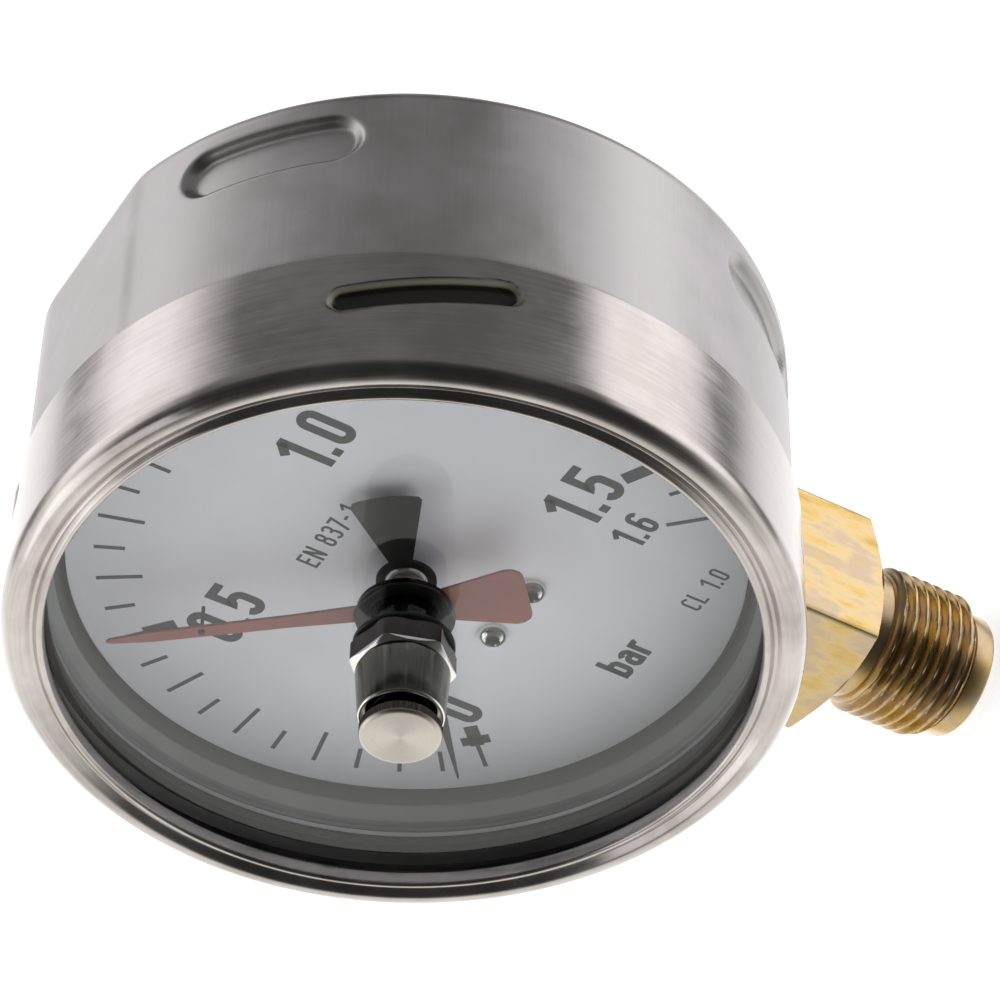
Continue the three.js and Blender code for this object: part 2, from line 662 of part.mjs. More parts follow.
function coneSleeve() {
  const bore = BUSHING_R + GAP;
  return revolve([
    [bore, CONE_Y[0] + 1],
    [5.05, CONE_Y[0] + 1],
    [5.15, CONE_Y[0]],
    [5.35, CONE_Y[0]],
    [5.45, CONE_Y[0] + 0.2],
    [6, CONE_Y[1]],
    [bore, CONE_Y[1]],
  ]);
}

function hexNut() {
  const corner = NUT_FLATS / Math.sqrt(3);
  const bar = rod(corner, ...NUT_Y, [0, 0], 6).rotate([0, 12, 0]);
  const bevel = revolve([
    [0, NUT_Y[0]],
    [5.9, NUT_Y[0]],
    [corner + 0.3, NUT_Y[0] + 0.75],
    [corner + 0.3, NUT_Y[1] - 0.5],
    [corner - 0.5, NUT_Y[1]],
    [0, NUT_Y[1]],
  ]);
  return cut(bar.intersect(bevel), rod(BUSHING_R + GAP, NUT_Y[0] - 1, NUT_Y[1] + 1, [0, 0], 32));
}

function windowBushing() {
  return revolve([
    [SHAFT_R + GAP, -46.4],
    [BUSHING_R - 0.4, -46.4],
    [BUSHING_R, -46],
    [BUSHING_R, BUSHING_REAR_Y - 0.5],
    [6.2, BUSHING_REAR_Y - 0.5],
    [6.2, BUSHING_REAR_Y],
    [SHAFT_R + GAP, BUSHING_REAR_Y],
  ]);
}

function frictionSpring() {
  return revolve([[2, -48.1], [4, -47.75], [4, -47.45], [2, -47.8]]);
}

// ---- assembly -----------------------------------------------------------------------------------
const gauge = new THREE.Group();
const aboutDial = new THREE.Group();
aboutDial.position.z = DIAL_AXIS_Z;
gauge.add(aboutDial);

function place(group, name, body, material, [x, y, z] = [0, 0, 0], turn = 0) {
  const mesh = new THREE.Mesh(geometryOf(body), material());
  mesh.name = name;
  mesh.position.set(x, y, z);
  mesh.rotation.y = radians(turn);
  group.add(mesh);
}

function buildStem() {
  place(gauge, "stem", stem(), brass);
  const restrictor = revolveUp([[0.6, 5], [PORT_R - GAP, 5], [PORT_R - GAP, 10], [0.6, 10]], 20);
  place(gauge, "restrictor_screw", restrictor, steel);
  place(gauge, "stem_seal", stemSeal(), rubber, [0, 0, 42.2]);
  const inside = CASE_BACK_Y - CASE_WALL - GAP;
  ["left", "right"].forEach((side, i) => {
    const [x, z] = CASE_STUDS[i];
    const nut = cut(rod(4, 0, 2.4, [0, 0], 6), rod(STUD_R + GAP, -1, 3));
    place(gauge, `case_stud_${side}`, rod(STUD_R, -10.6, inside), steel, [x, 0, z]);
    place(gauge, `case_nut_${side}`, nut, steel, [x, -HEAD.y - GAP - 2.4, z]);
    place(gauge, `case_spacer_${side}`, tube(3.5, STUD_R + GAP, HEAD.y + GAP, inside), steel, [x, 0, z]);
  });
}

function buildCase() {
  place(aboutDial, "case_shell", caseShell(), steel);
  place(aboutDial, "blowout_plug", blowoutPlug(), rubber, [BLOWOUT.at[0], 0, BLOWOUT.at[1]]);
  place(aboutDial, "bayonet_ring", bayonetRing(), steel);
  place(aboutDial, "window_gasket", windowGasket(), rubber);
  place(aboutDial, "window_pane", tube(WINDOW_R, BUSHING_R + GAP, WINDOW_FRONT_Y, WINDOW_REAR_Y, 48), clearPane);
  place(aboutDial, "support_ring", supportRing(), greyPlastic);
}

function buildKnob() {
  place(aboutDial, "knob_disc", knobDisc(), satinSteel);
  place(aboutDial, "friction_spring", frictionSpring(), darkSteel);
  place(aboutDial, "cone_sleeve", coneSleeve(), darkSteel);
  place(aboutDial, "hex_nut", hexNut(), darkSteel);
  place(aboutDial, "window_bushing", windowBushing(), darkSteel);
  place(aboutDial, "outer_washer", tube(6.5, BUSHING_R + GAP, -35.5, -34.9), rubber);
  place(aboutDial, "inner_washer", tube(6.4, BUSHING_R + GAP, -30.3, -29.9), rubber);
}

function buildDragPointer() {
  const [pinX, pinZ] = atClock(DRAG_CLOCK, DRIVER_PIN_R);
  place(aboutDial, "drag_shaft", rod(SHAFT_R, KNOB_FRONT_Y + 1, -26.8, [0, 0], 20), steel);
  place(aboutDial, "drag_pointer", dragPointer(), pointerRed, [0, 0, 0], DRAG_CLOCK);
  const hubY = DRAG_Y + 0.4 + GAP;
  place(aboutDial, "drag_hub", tube(3, SHAFT_R + GAP, hubY, hubY + 1.4), steel);
  place(aboutDial, "driver_pin", rod(0.5, DRAG_Y - 0.3, POINTER_Y - GAP, [0, 0], 10), pointerRed, [pinX, 0, pinZ]);
}

function buildBourdonTube() {
  place(aboutDial, "bourdon_tube", bourdonTube(), copper);
  place(aboutDial, "tube_end_piece", tubeEndPiece(), brass);
  const tipPin = headedPin(PIN_R, LINK_Y[0] - GAP, -6);
  place(aboutDial, "tip_pin", tipPin, steel, [TIP_PIN[0], 0, TIP_PIN[1]]);
  place(aboutDial, "link_bar", linkBar(), brass);
  const tailPin = headedPin(PIN_R, SECTOR_Y[0] - GAP, -10.6);
  place(aboutDial, "tail_pin", tailPin, steel, [TAIL_PIN[0], 0, TAIL_PIN[1]]);
}

function buildMovement() {
  place(aboutDial, "movement_back_plate", backPlate(), brass);
  place(aboutDial, "movement_front_plate", frontPlate(), brass);
  POSTS.forEach(([x, z], i) => {
    place(aboutDial, `movement_post_${i + 1}`, post(), brass, [x, 0, z]);
    const under = FRONT_PLATE_Y[0] - GAP;
    place(aboutDial, `plate_screw_${i + 1}`, panScrew(2, 1.1, 0.9, 4.2), steel, [x, under, z]);
  });
  MOVEMENT_SCREWS.forEach(([x, z], i) => {
    const under = BACK_PLATE_Y[0] - GAP;
    place(gauge, `movement_screw_${i + 1}`, panScrew(2.1, 1.3, 1.1, 5), steel, [x, under, z]);
  });
  place(aboutDial, "pinion", pinion(), steel);
  place(aboutDial, "sector_gear", sectorGear(), brass);
  place(aboutDial, "sector_arbor", sectorArbor(), steel, [SECTOR_PIVOT[0], 0, SECTOR_PIVOT[1]]);
  place(aboutDial, "hairspring", hairspring(), copper);
  place(aboutDial, "hairspring_collet", tube(2.1, ARBOR_R + GAP, -16.2, -15.1), brass);
  const [studX, studZ] = polar([0, 0], 7.3, 90);
  place(aboutDial, "hairspring_stud", rod(0.7, -16.5, -14.7), brass, [studX, 0, studZ]);
}

function buildDial() {
  place(aboutDial, "dial_plate", dialPlate(), dialWhite);
  [["left", -1], ["right", 1]].forEach(([side, sign]) => {
    const x = sign * DIAL_SCREW.x;
    place(aboutDial, `dial_pillar_${side}`, dialPillar(), brass, [x, 0, DIAL_SCREW.z]);
    place(aboutDial, `dial_screw_${side}`, dialScrew(), steel, [x, DIAL_FRONT_Y - GAP, DIAL_SCREW.z]);
  });
  place(aboutDial, "instrument_pointer", instrumentPointer(), pointerBlack, [0, 0, 0], POINTER_CLOCK);
  place(aboutDial, "pointer_hub", pointerHub(), steel);
}

buildStem();
buildCase();
buildKnob();
buildDragPointer();
buildBourdonTube();
buildMovement();
buildDial();

export default gauge;
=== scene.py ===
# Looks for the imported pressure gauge. Lengths are millimetres in the part's frame until a mesh is made, which
# scales them to metres. Clock angles are degrees clockwise from 12 o'clock, seen from the front of the dial.
# Profiles are lists of (radius, y), and outlines are lists of (x, z) about the dial's axis.
import json
import math

import bmesh
import bpy
import numpy as np
from mathutils import Matrix, Vector


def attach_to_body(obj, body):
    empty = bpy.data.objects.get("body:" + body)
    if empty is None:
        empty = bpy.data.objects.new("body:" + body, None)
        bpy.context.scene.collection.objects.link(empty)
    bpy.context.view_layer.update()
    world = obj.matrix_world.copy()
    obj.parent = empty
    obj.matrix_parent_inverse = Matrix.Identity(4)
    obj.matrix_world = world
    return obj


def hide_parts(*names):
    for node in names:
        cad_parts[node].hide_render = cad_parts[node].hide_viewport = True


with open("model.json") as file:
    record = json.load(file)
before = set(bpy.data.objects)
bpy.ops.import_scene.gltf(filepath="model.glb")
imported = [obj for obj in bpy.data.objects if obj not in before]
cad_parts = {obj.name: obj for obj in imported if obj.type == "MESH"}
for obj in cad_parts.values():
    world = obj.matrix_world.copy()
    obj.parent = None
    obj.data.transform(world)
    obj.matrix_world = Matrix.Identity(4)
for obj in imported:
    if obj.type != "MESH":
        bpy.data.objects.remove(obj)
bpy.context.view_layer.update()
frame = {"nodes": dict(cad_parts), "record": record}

MM = 0.001
DIAL_AXIS_Z = 87.0
ROUND = 240  # columns of a fine round piece

CASE_R = 49.5
CASE_WALL = 1.2
CASE_BACK_Y = 15.5
CASE_STEP_Y = -16.7  # where the drum narrows to the neck under the ring
CASE_RIM_Y = -28.0
CASE_RIM_R = 45.9
CASE_FLAT_H = 47.8  # the flat at 12 o'clock, above the dial's axis
CASE_COLUMN_STEP = 0.5  # degrees
# Dents are stadiums on a drum, at "first" and every 90 degrees from it. "edges" are the widths of the slopes
# at the rear and at the front.
CASE_DENT = {
    "first": 39, "length": 25.0, "width": 8.6, "depth": 1.4, "y": 5.7, "slant": 0.0, "edges": (1.3, 1.8),
}

RING_R = 50.5
RING_WALL = 0.8
RING_CORNER = 2.4
RING_FRONT_Y = -37.0
RING_REAR_Y = -17.0
RING_LIP_R = 45.0
RING_DENT = {
    "first": 63, "length": 23.6, "width": 4.5, "depth": 1.25, "y": -23.5, "slant": 7.0, "edges": (1.3, 1.6),
}
RING_DENT_ROWS = (-20.6, -26.6)  # the depths between which the ring's mesh is fine

PLUG_UP = 20.0  # the blow-out plug, above the dial's axis
PLUG_HOLE_R = 11.3
PLUG_COLUMNS = 72

WINDOW_Y = (-34.6, -30.6)
WINDOW_R = 49.2
WINDOW_HOLE_R = 4.5
GASKET_Y = -30.3
GASKET_PAINTED_LIGHT_R = 46.7  # beyond this radius the gasket is paler, as painted light where the ring's lip shades it
BAND_EDGE_Y = -22.98  # behind this depth the support band is dark, as painted shade in the gap by the dial's edge

DIAL_Y = (-21.7, -20.9)
DIAL_R = 43.6
DIAL_SCREWS = ((-4.9, -15.6), (4.9, -15.6))
INK_Y = DIAL_Y[0] - 0.04
INK_REAR_Y = DIAL_Y[0] + 0.02

SCALE_TOP = 1.6  # bar at the end of the scale
SCALE_STEP = 0.05
SCALE_START = -135.0
SCALE_SWEEP = 270.0
MARK_END_R = 39.9
MARK_WIDTH, MARK_THICK = 0.6, 1.9
# Text, its centre, its height, its stroke and how far it is stretched sideways.
LABELS = (
    ("1.0", (14.1, 21.1), 7.9, 1.25, 1.0),
    ("0.5", (-19.5, 15.8), 7.7, 1.25, 1.0),
    ("1.5", (22.7, -12.4), 8.0, 1.25, 1.0),
    ("1.6", (21.0, -21.1), 4.6, 0.72, 1.05),
    ("0", (-20.1, -18.7), 7.8, 1.25, 1.0),
    ("bar", (0.2, -32.6), 5.0, 0.85, 1.0),
    ("CL 1.0", (16.4, -34.6), 3.0, 0.36, 1.05),
    ("EN 837-1", (0.1, 11.4), 3.2, 0.38, 1.0),
)
LETTER_GAP = 0.1

BLADE_TIP_R = 38.9
BLADE_THICK = 0.4
DRAG_Y = -28.8
DRAG_CLOCK = -40.5
DRIVER_PIN_R = 26.4
DRIVER_PIN_END_Y = -24.45
POINTER_Y = -24.1
POINTER_CLOCK = -129.8

KNOB_Y = (-50.2, -48.55)
KNOB_RIBS = 90
NUT_Y = (-39.3, -35.8)
NUT_HALF = 6.0  # half the width across its flats
NUT_CLOCK = 12.0

BLOCK_HALF = 11.0
BLOCK_END_Z = 20.0
BLOCK_TOP_Z = 43.5
HOLE_HALF = BLOCK_HALF + 0.3  # half the width of the case's hole for the block
BORE_R = 3.0
NECK_R = 9.0
THREAD_R = 10.45
THREAD_ROOT_R = 9.32
THREAD_PITCH = 1.814
THREAD_END_Z = 16.7
COLLAR_R = 8.75
STEM_COLUMNS = 288


# ---- meshes ---------------------------------------------------------------------------------------------
def mesh_object(name, bm, materials, sharp=32.0):
    """Makes an object from a bmesh in millimetres, with smooth faces and creases sharper than an angle."""
    bmesh.ops.recalc_face_normals(bm, faces=bm.faces)
    bmesh.ops.scale(bm, vec=(MM, MM, MM), verts=bm.verts)
    mesh = bpy.data.meshes.new(name)
    bm.to_mesh(mesh)
    bm.free()
    mesh.shade_smooth()
    mesh.set_sharp_from_angle(angle=math.radians(sharp))
    obj = bpy.data.objects.new(name, mesh)
    for material in materials if isinstance(materials, (list, tuple)) else [materials]:
        mesh.materials.append(material)
    bpy.context.scene.collection.objects.link(obj)
    return obj


def add_grid(bm, points, wrap_rows=True, wrap_columns=True, skip=None, material=None):
    """Adds quads over an array of points [row][column], and returns the vertices in the same order."""
    rows, columns = points.shape[:2]
    verts = [[bm.verts.new(p) for p in row] for row in points]
    for i in range(rows if wrap_rows else rows - 1):
        for j in range(columns if wrap_columns else columns - 1):
            if skip is not None and skip(i, j):
                continue
            a, b = verts[i][j], verts[i][(j + 1) % columns]
            c, d = verts[(i + 1) % rows][(j + 1) % columns], verts[(i + 1) % rows][j]
            face = bm.faces.new((a, b, c, d))
            if material is not None:
                face.material_index = material(i)
    return verts


def add_bar(bm, points):
    """Adds a closed bar between the two loops of an array of points."""
    ends = add_grid(bm, points, wrap_rows=False)
    bm.faces.new(ends[0])
    bm.faces.new(list(reversed(ends[1])))


def weld(bm, distance=1e-4):
    bmesh.ops.remove_doubles(bm, verts=bm.verts, dist=distance)
    bmesh.ops.dissolve_degenerate(bm, edges=bm.edges, dist=distance)


def fillet(corners):
    """A closed profile from corners (radius, y, rounding)."""
    steps = 4
    profile = []
    for i, (x, y, rounding) in enumerate(corners):
        here = np.array((x, y), float)
        if rounding <= 0:
            profile.append(tuple(here))
            continue
        before = np.array(corners[i - 1][:2], float) - here
        after = np.array(corners[(i + 1) % len(corners)][:2], float) - here
        before, after = before / np.linalg.norm(before), after / np.linalg.norm(after)
        half = math.acos(float(np.clip(before @ after, -1, 1))) / 2
        reach = rounding / math.tan(half)
        middle = here + (before + after) / np.linalg.norm(before + after) * rounding / math.sin(half)
        start, end = here + before * reach - middle, here + after * reach - middle
        turn = math.atan2(start[0] * end[1] - start[1] * end[0], float(start @ end))
        for k in range(steps + 1):
            c, s = math.cos(turn * k / steps), math.sin(turn * k / steps)
            profile.append((middle[0] + start[0] * c - start[1] * s, middle[1] + start[0] * s + start[1] * c))
    return profile


def arc_points(centre, radius, start, end, steps=10):
    angles = np.radians(np.linspace(start, end, steps + 1))
    return [(centre[0] + radius * math.cos(a), centre[1] + radius * math.sin(a)) for a in angles]


def spaced(start, end, step):
    """Numbers from start to end, about step apart, without the end."""
    return list(np.linspace(start, end, max(2, round(abs(end - start) / step)), endpoint=False))


def about_dial(radius, y, clock):
    """Points about the dial's axis, from arrays of radius, y and clock angle in degrees."""
    angle = np.radians(clock)
    return np.stack([radius * np.sin(angle), y + 0 * radius, DIAL_AXIS_Z + radius * np.cos(angle)], -1)


def beside_dial(x, z):
    """A placing like about_dial, for an axis that is moved by x and z."""
    return lambda radius, y, clock: about_dial(radius, y, clock) + np.array([x, 0, z])


def about_stem(radius, z, angle):
    angle = np.radians(angle)
    return np.stack([radius * np.sin(angle), radius * np.cos(angle), z + 0 * radius], -1)


def lathe(name, profile, materials, columns=ROUND, shape=None, place=about_dial, sharp=32.0, tint=None):
    """Turns a closed profile about an axis. shape(radius, y, clock) may change the radius, and
    tint(radius, y) says which rows of faces have the second material."""
    count = len(profile)
    radius, y = (np.repeat(row[:, None], columns, 1) for row in np.array(profile, float).T)
    clock = np.repeat((np.arange(columns) * 360.0 / columns)[None, :], count, 0)
    if shape is not None:
        radius = shape(radius, y, clock)

    def pick(i):
        (r0, y0), (r1, y1) = profile[i], profile[(i + 1) % count]
        return int(tint((r0 + r1) / 2, (y0 + y1) / 2))

    bm = bmesh.new()
    add_grid(bm, place(radius, y, clock), material=pick if tint else None)
    weld(bm)
    return mesh_object(name, bm, materials, sharp)


def turned(outline, clock):
    """Turns an outline clockwise about the dial's axis."""
    c, s = math.cos(math.radians(clock)), math.sin(math.radians(clock))
    return [(x * c + z * s, z * c - x * s) for x, z in outline]


def mirrored(half):
    """A closed outline from the points down its right side."""
    return half + [(-x, z) for x, z in reversed(half) if abs(x) > 1e-6]


def bevelled_plate(name, outline, front, clock, material):
    """A pointer's blade, cut from sheet, with its edges broken."""
    corners = turned(outline, clock)
    bm = bmesh.new()
    depths = (front, front + BLADE_THICK)
    add_bar(bm, np.array([[(x, y, DIAL_AXIS_Z + z) for x, z in corners] for y in depths]))
    edges = [e for e in bm.edges if len(e.link_faces) == 2 and e.calc_face_angle(0) > 1.2]
    bmesh.ops.bevel(bm, geom=edges, offset=0.1, segments=2, affect="EDGES", profile=0.5)
    return mesh_object(name, bm, material)


def dent_depth(dent, y, clock):
    """How far the four dents press the wall in, at each point of a drum."""
    run = (dent["length"] - dent["width"]) / 2
    c, s = math.cos(math.radians(dent["slant"])), math.sin(math.radians(dent["slant"]))
    rear, front = dent["edges"]
    depth = np.zeros_like(y)
    for k in range(4):
        offset = (clock - dent["first"] - 90 * k + 180) % 360 - 180
        along = np.radians(offset) * CASE_R
        across = y - dent["y"]
        along, across = along * c + across * s, across * c - along * s
        inside = dent["width"] / 2 - np.hypot(np.maximum(np.abs(along) - run, 0), across)
        side = np.clip(0.5 + across / dent["width"], 0, 1)
        t = np.clip((inside + 0.15) / (front + (rear - front) * side), 0, 1)
        depth = np.maximum(depth, dent["depth"] * t * t * (3 - 2 * t))
    return depth


# ---- materials ------------------------------------------------------------------------------------------
class Nodes:
    """Adds and wires the nodes of one node tree."""

    def __init__(self, tree):
        self.nodes, self.links = tree.nodes, tree.links

    def put(self, socket, value):
        if isinstance(value, bpy.types.NodeSocket):
            self.links.new(value, socket)
        else:
            socket.default_value = value

    def add(self, kind, inputs=(), **settings):
        """Adds a node, and fills its inputs with numbers or links, given in order, or by name or number."""
        node = self.nodes.new("ShaderNode" + kind)
        for name, value in settings.items():
            setattr(node, name, value)
        for key, value in inputs.items() if isinstance(inputs, dict) else enumerate(inputs):
            self.put(node.inputs[key], value)
        return node

    def math(self, operation, a, b=0.0):
        return self.add("Math", (a, b), operation=operation).outputs[0]

    def vector_math(self, operation, a, b=(0, 0, 0)):
        return self.add("VectorMath", (a, b), operation=operation).outputs

    def split(self, vector):
        x, y, z = self.add("SeparateXYZ", (vector,)).outputs
        return x, y, z

    def spread(self, value, low, high, to_low, to_high, **settings):
        """Maps the range from low to high to the range from to_low to to_high."""
        return self.add("MapRange", (value, low, high, to_low, to_high), **settings).outputs[0]

    def ramp(self, value, *stops):
        node = self.add("ValToRGB", (value,))
        elements = node.color_ramp.elements
        while len(elements) < len(stops):
            elements.new(0.5)
        for element, (position, colour) in zip(elements, stops):
            element.position = position
            element.color = (*colour, 1)
        return node.outputs[0]

    def noise(self, vector, scale=1.0, detail=3.0, roughness=0.5):
        inputs = {"Vector": vector, "Scale": scale, "Detail": detail, "Roughness": roughness}
        return self.add("TexNoise", inputs).outputs["Fac"]

    def mixed(self, factor, a, b):
        """A mix of two colours."""
        return self.add("Mix", {0: factor, 6: a, 7: b}, data_type="RGBA").outputs[2]

    def mixed_shaders(self, factor, a, b):
        return self.add("MixShader", (factor, a, b)).outputs[0]


class Shader(Nodes):
    """The nodes of one material, round its Principled shader."""

    def __init__(self, name, **sockets):
        self.material = bpy.data.materials.new(name)
        self.material.use_nodes = True
        super().__init__(self.material.node_tree)
        self.surface = self.nodes["Principled BSDF"]
        self.coordinates = self.add("TexCoord").outputs["Object"]
        self.fill(**sockets)

    def fill(self, **sockets):
        for name, value in sockets.items():
            self.put(self.surface.inputs[name.replace("_", " ")], value)

    def from_dial_axis(self):
        """x, y, z and the radius of a point, from the dial's axis, in metres."""
        x, y, z = self.split(self.coordinates)
        z = self.math("SUBTRACT", z, DIAL_AXIS_Z * MM)
        square = self.math("ADD", self.math("MULTIPLY", x, x), self.math("MULTIPLY", z, z))
        return x, y, z, self.math("SQRT", self.math("MAXIMUM", square, 1e-9))

    def round_dial(self, round_scale, across_scale):
        """Coordinates about the dial's axis that are stretched along the circumference."""
        x, y, z, radius = self.from_dial_axis()
        return self.add("CombineXYZ", (
            self.math("MULTIPLY", self.math("DIVIDE", x, radius), round_scale),
            self.math("MULTIPLY", self.math("ADD", y, radius), across_scale),
            self.math("MULTIPLY", self.math("DIVIDE", z, radius), round_scale),
        )).outputs[0]

    def spread_highlights(self, drawn):
        """Points the tangent across the surface's fine lines, which run round the dial's axis, or along it on
        a drawn surface."""
        x, _, z, _ = self.from_dial_axis()
        across = self.add("CombineXYZ", (z, 0.0, self.math("MULTIPLY", x, -1.0))).outputs[0]
        if not drawn:
            normal = self.add("NewGeometry").outputs["Normal"]
            across = self.vector_math("CROSS_PRODUCT", across, normal)[0]
        self.fill(Tangent=self.vector_math("NORMALIZE", across)[0])

    def in_dent(self, shallow, deep):
        """0 outside the ring's dents, and 1 where they are deeper than deep, in millimetres."""
        _, y, _, radius = self.from_dial_axis()
        depth = self.math("SUBTRACT", RING_R * MM, radius)
        near = self.math("ABSOLUTE", self.math("SUBTRACT", y, RING_DENT["y"] * MM))
        pressed = self.spread(depth, shallow * MM, deep * MM, 0.0, 1.0)
        return self.math("MULTIPLY", pressed, self.math("LESS_THAN", near, 3.6 * MM))

    def bump(self, height, strength, distance):
        inputs = {"Strength": strength, "Distance": distance, "Height": height}
        self.fill(Normal=self.add("Bump", inputs).outputs[0])


def brushed(name, dark, light, rough, scales=(5.0, 2600.0), strength=0.25, spread=0.0, drawn=False,
            dents_painted_light_and_shade=False):
    """Metal with fine lines round the dial's axis, or along it where it was drawn, slow stains, and roughness
    that varies with both. Its highlights spread across the lines. In the ring's dents, the rear walls take a
    pale, non-metallic colour as painted light, and the floors a near-black one as painted shade."""
    shader = Shader(name, Metallic=1.0, Anisotropic=spread)
    if spread:
        shader.spread_highlights(drawn)
    fine = shader.noise(shader.round_dial(*scales), detail=4.0, roughness=0.65)
    stains = shader.noise(shader.coordinates, scale=55.0, detail=4.0, roughness=0.6)
    blend = shader.math("ADD", shader.math("MULTIPLY", fine, 0.3), shader.math("MULTIPLY", stains, 0.7))
    colour = shader.ramp(blend, (0.4, dark), (0.6, light))
    if dents_painted_light_and_shade:
        # Painted light and shade: the rear walls of the ring's dents take a pale, non-metallic colour that
        # stands in for light, and their floors a near-black one that stands in for shade.
        wall = shader.in_dent(0.1, 0.4)
        colour = shader.mixed(shader.in_dent(0.6, 0.85), shader.mixed(wall, colour, DENT_WALL_PAINTED_LIGHT), DENT_FLOOR_PAINTED_SHADE)
        shader.fill(Metallic=shader.math("SUBTRACT", 1.0, wall))
    shader.fill(Base_Color=colour, Roughness=shader.spread(blend, 0.4, 0.6, *rough))
    shader.bump(fine, strength, 0.00002)
    return shader.material


def painted(name, dark, light, rough, strength=0.04):
    """Paint, rubber or printing ink with faint mottling and a fine grain."""
    shader = Shader(name, Metallic=0.0)
    mottle = shader.noise(shader.coordinates, scale=140.0, detail=4.0)
    colour = shader.ramp(mottle, (0.3, dark), (0.7, light))
    shader.fill(Base_Color=colour, Roughness=shader.spread(mottle, 0.3, 0.7, *rough))
    shader.bump(shader.noise(shader.coordinates, scale=2500.0, detail=2.0), strength, 0.00002)
    return shader.material


def raw_brass(name, rough, streak=(260.0, 260.0, 60.0), dull=0.0):
    """Drawn brass with yellow, pink and grey patches that run along the bar. A dull one is browner."""
    shader = Shader(name, Metallic=1.0)
    streaks = shader.vector_math("MULTIPLY", shader.coordinates, streak)[0]
    patches = shader.noise(streaks, detail=6.0, roughness=0.62)
    clouds = shader.noise(shader.coordinates, scale=110.0, detail=5.0)
    blend = shader.math("ADD", shader.math("MULTIPLY", patches, 0.55), shader.math("MULTIPLY", clouds, 0.45))
    keep = (1 - dull, 1 - 1.2 * dull, 1 - 1.4 * dull)
    stops = [(at, tuple(c * k for c, k in zip(colour, keep))) for at, colour in BRASS_STOPS]
    shader.fill(Base_Color=shader.ramp(blend, *stops), Roughness=shader.spread(blend, 0.38, 0.62, *rough))
    shader.bump(patches, 0.2, 0.00004)
    return shader.material


def clear_glass(name):
    """A pane that reflects at its faces and lets everything else straight through."""
    shader = Shader(name)
    shader.nodes.remove(shader.surface)
    inside = shader.add("NewGeometry").outputs["Backfacing"]
    index = shader.spread(inside, 0.0, 1.0, GLASS_INDEX, 1 / GLASS_INDEX)  # reflects alike from both sides
    smudge = shader.spread(shader.noise(shader.coordinates, 60.0, 2.0), 0.35, 0.65, 0.01, 0.035)
    pane = shader.mixed_shaders(
        shader.add("Fresnel", {"IOR": index}).outputs[0],
        shader.add("BsdfTransparent", {"Color": (0.975, 0.98, 0.985, 1)}).outputs[0],
        shader.add("BsdfGlossy", {"Color": (1, 1, 1, 1), "Roughness": smudge}).outputs[0],
    )
    shader.links.new(pane, shader.nodes["Material Output"].inputs["Surface"])
    return shader.material


GLASS_INDEX = 1.42
# Painted light on the rear walls of the ring's dents, and painted shade on their floors.
DENT_WALL_PAINTED_LIGHT = (0.29, 0.265, 0.195, 1)
DENT_FLOOR_PAINTED_SHADE = (0.014, 0.011, 0.009, 1)
BRASS_STOPS = (
    (0.34, (0.40, 0.24, 0.07)),
    (0.43, (0.60, 0.42, 0.16)),
    (0.48, (0.64, 0.48, 0.26)),
    (0.54, (0.55, 0.42, 0.30)),
    (0.60, (0.66, 0.49, 0.23)),
    (0.68, (0.50, 0.34, 0.10)),
)

# The ring's dents get painted light on their rear walls and painted shade on their floors.
RING_STEEL = brushed(
    "ring_steel", (0.44, 0.40, 0.385), (0.64, 0.59, 0.58), (0.16, 0.26), (5.0, 1800.0), 0.1, 0.8,
    dents_painted_light_and_shade=True)
CASE_STEEL = brushed(
    "case_steel", (0.50, 0.48, 0.475), (0.66, 0.61, 0.63), (0.33, 0.43), (900.0, 20.0), 0.08, 0.7, drawn=True)
CONE_METAL = brushed(
    "cone_metal", (0.17, 0.17, 0.145), (0.46, 0.45, 0.40), (0.14, 0.24), (9.0, 20.0), 0.1, 0.6, drawn=True)
NUT_METAL = brushed("nut_metal", (0.05, 0.045, 0.042), (0.11, 0.10, 0.095), (0.12, 0.2), (40.0, 500.0), 0.12)
BUSHING_METAL = brushed(
    "bushing_metal", (0.008, 0.008, 0.007), (0.02, 0.019, 0.017), (0.2, 0.3), (40.0, 500.0))
KNURL_METAL = brushed("knurl_metal", (0.10, 0.085, 0.07), (0.20, 0.17, 0.145), (0.3, 0.45), (60.0, 500.0))
BRIGHT_METAL = brushed("bright_metal", (0.78, 0.76, 0.74), (0.90, 0.88, 0.86), (0.1, 0.22), (20.0, 3000.0))
KNOB_FACE = brushed(
    "knob_face", (0.55, 0.51, 0.47), (0.69, 0.635, 0.59), (0.34, 0.46), (2.0, 3400.0), 0.3, 0.5)
SCREW_STEEL = brushed("screw_steel", (0.70, 0.69, 0.68), (0.86, 0.85, 0.83), (0.1, 0.22), (20.0, 2500.0))
TUBE_COPPER = brushed("tube_copper", (0.56, 0.34, 0.20), (0.70, 0.47, 0.31), (0.25, 0.4), (6.0, 1500.0))
STEM_BRASS = raw_brass("stem_brass", (0.22, 0.36))
THREAD_BRASS = raw_brass("thread_brass", (0.24, 0.34), (90.0, 90.0, 160.0), 0.15)
MOVEMENT_BRASS = raw_brass("movement_brass", (0.3, 0.4), (60.0, 400.0, 60.0))
DIAL_PAINT = painted("dial_paint", (0.785, 0.775, 0.81), (0.825, 0.815, 0.85), (0.45, 0.55))
INK = painted("dial_ink", (0.03, 0.03, 0.034), (0.048, 0.049, 0.053), (0.55, 0.7))
BLACK_PAINT = painted("black_paint", (0.008, 0.009, 0.008), (0.016, 0.017, 0.016), (0.5, 0.6), 0.02)
RED_PAINT = painted("red_paint", (0.27, 0.07, 0.052), (0.33, 0.095, 0.07), (0.5, 0.6))
BLACK_RUBBER = painted("black_rubber", (0.004, 0.004, 0.004), (0.009, 0.009, 0.008), (0.3, 0.45))
GREY_RUBBER = painted("grey_rubber", (0.026, 0.026, 0.026), (0.038, 0.038, 0.036), (0.3, 0.4), 0.02)
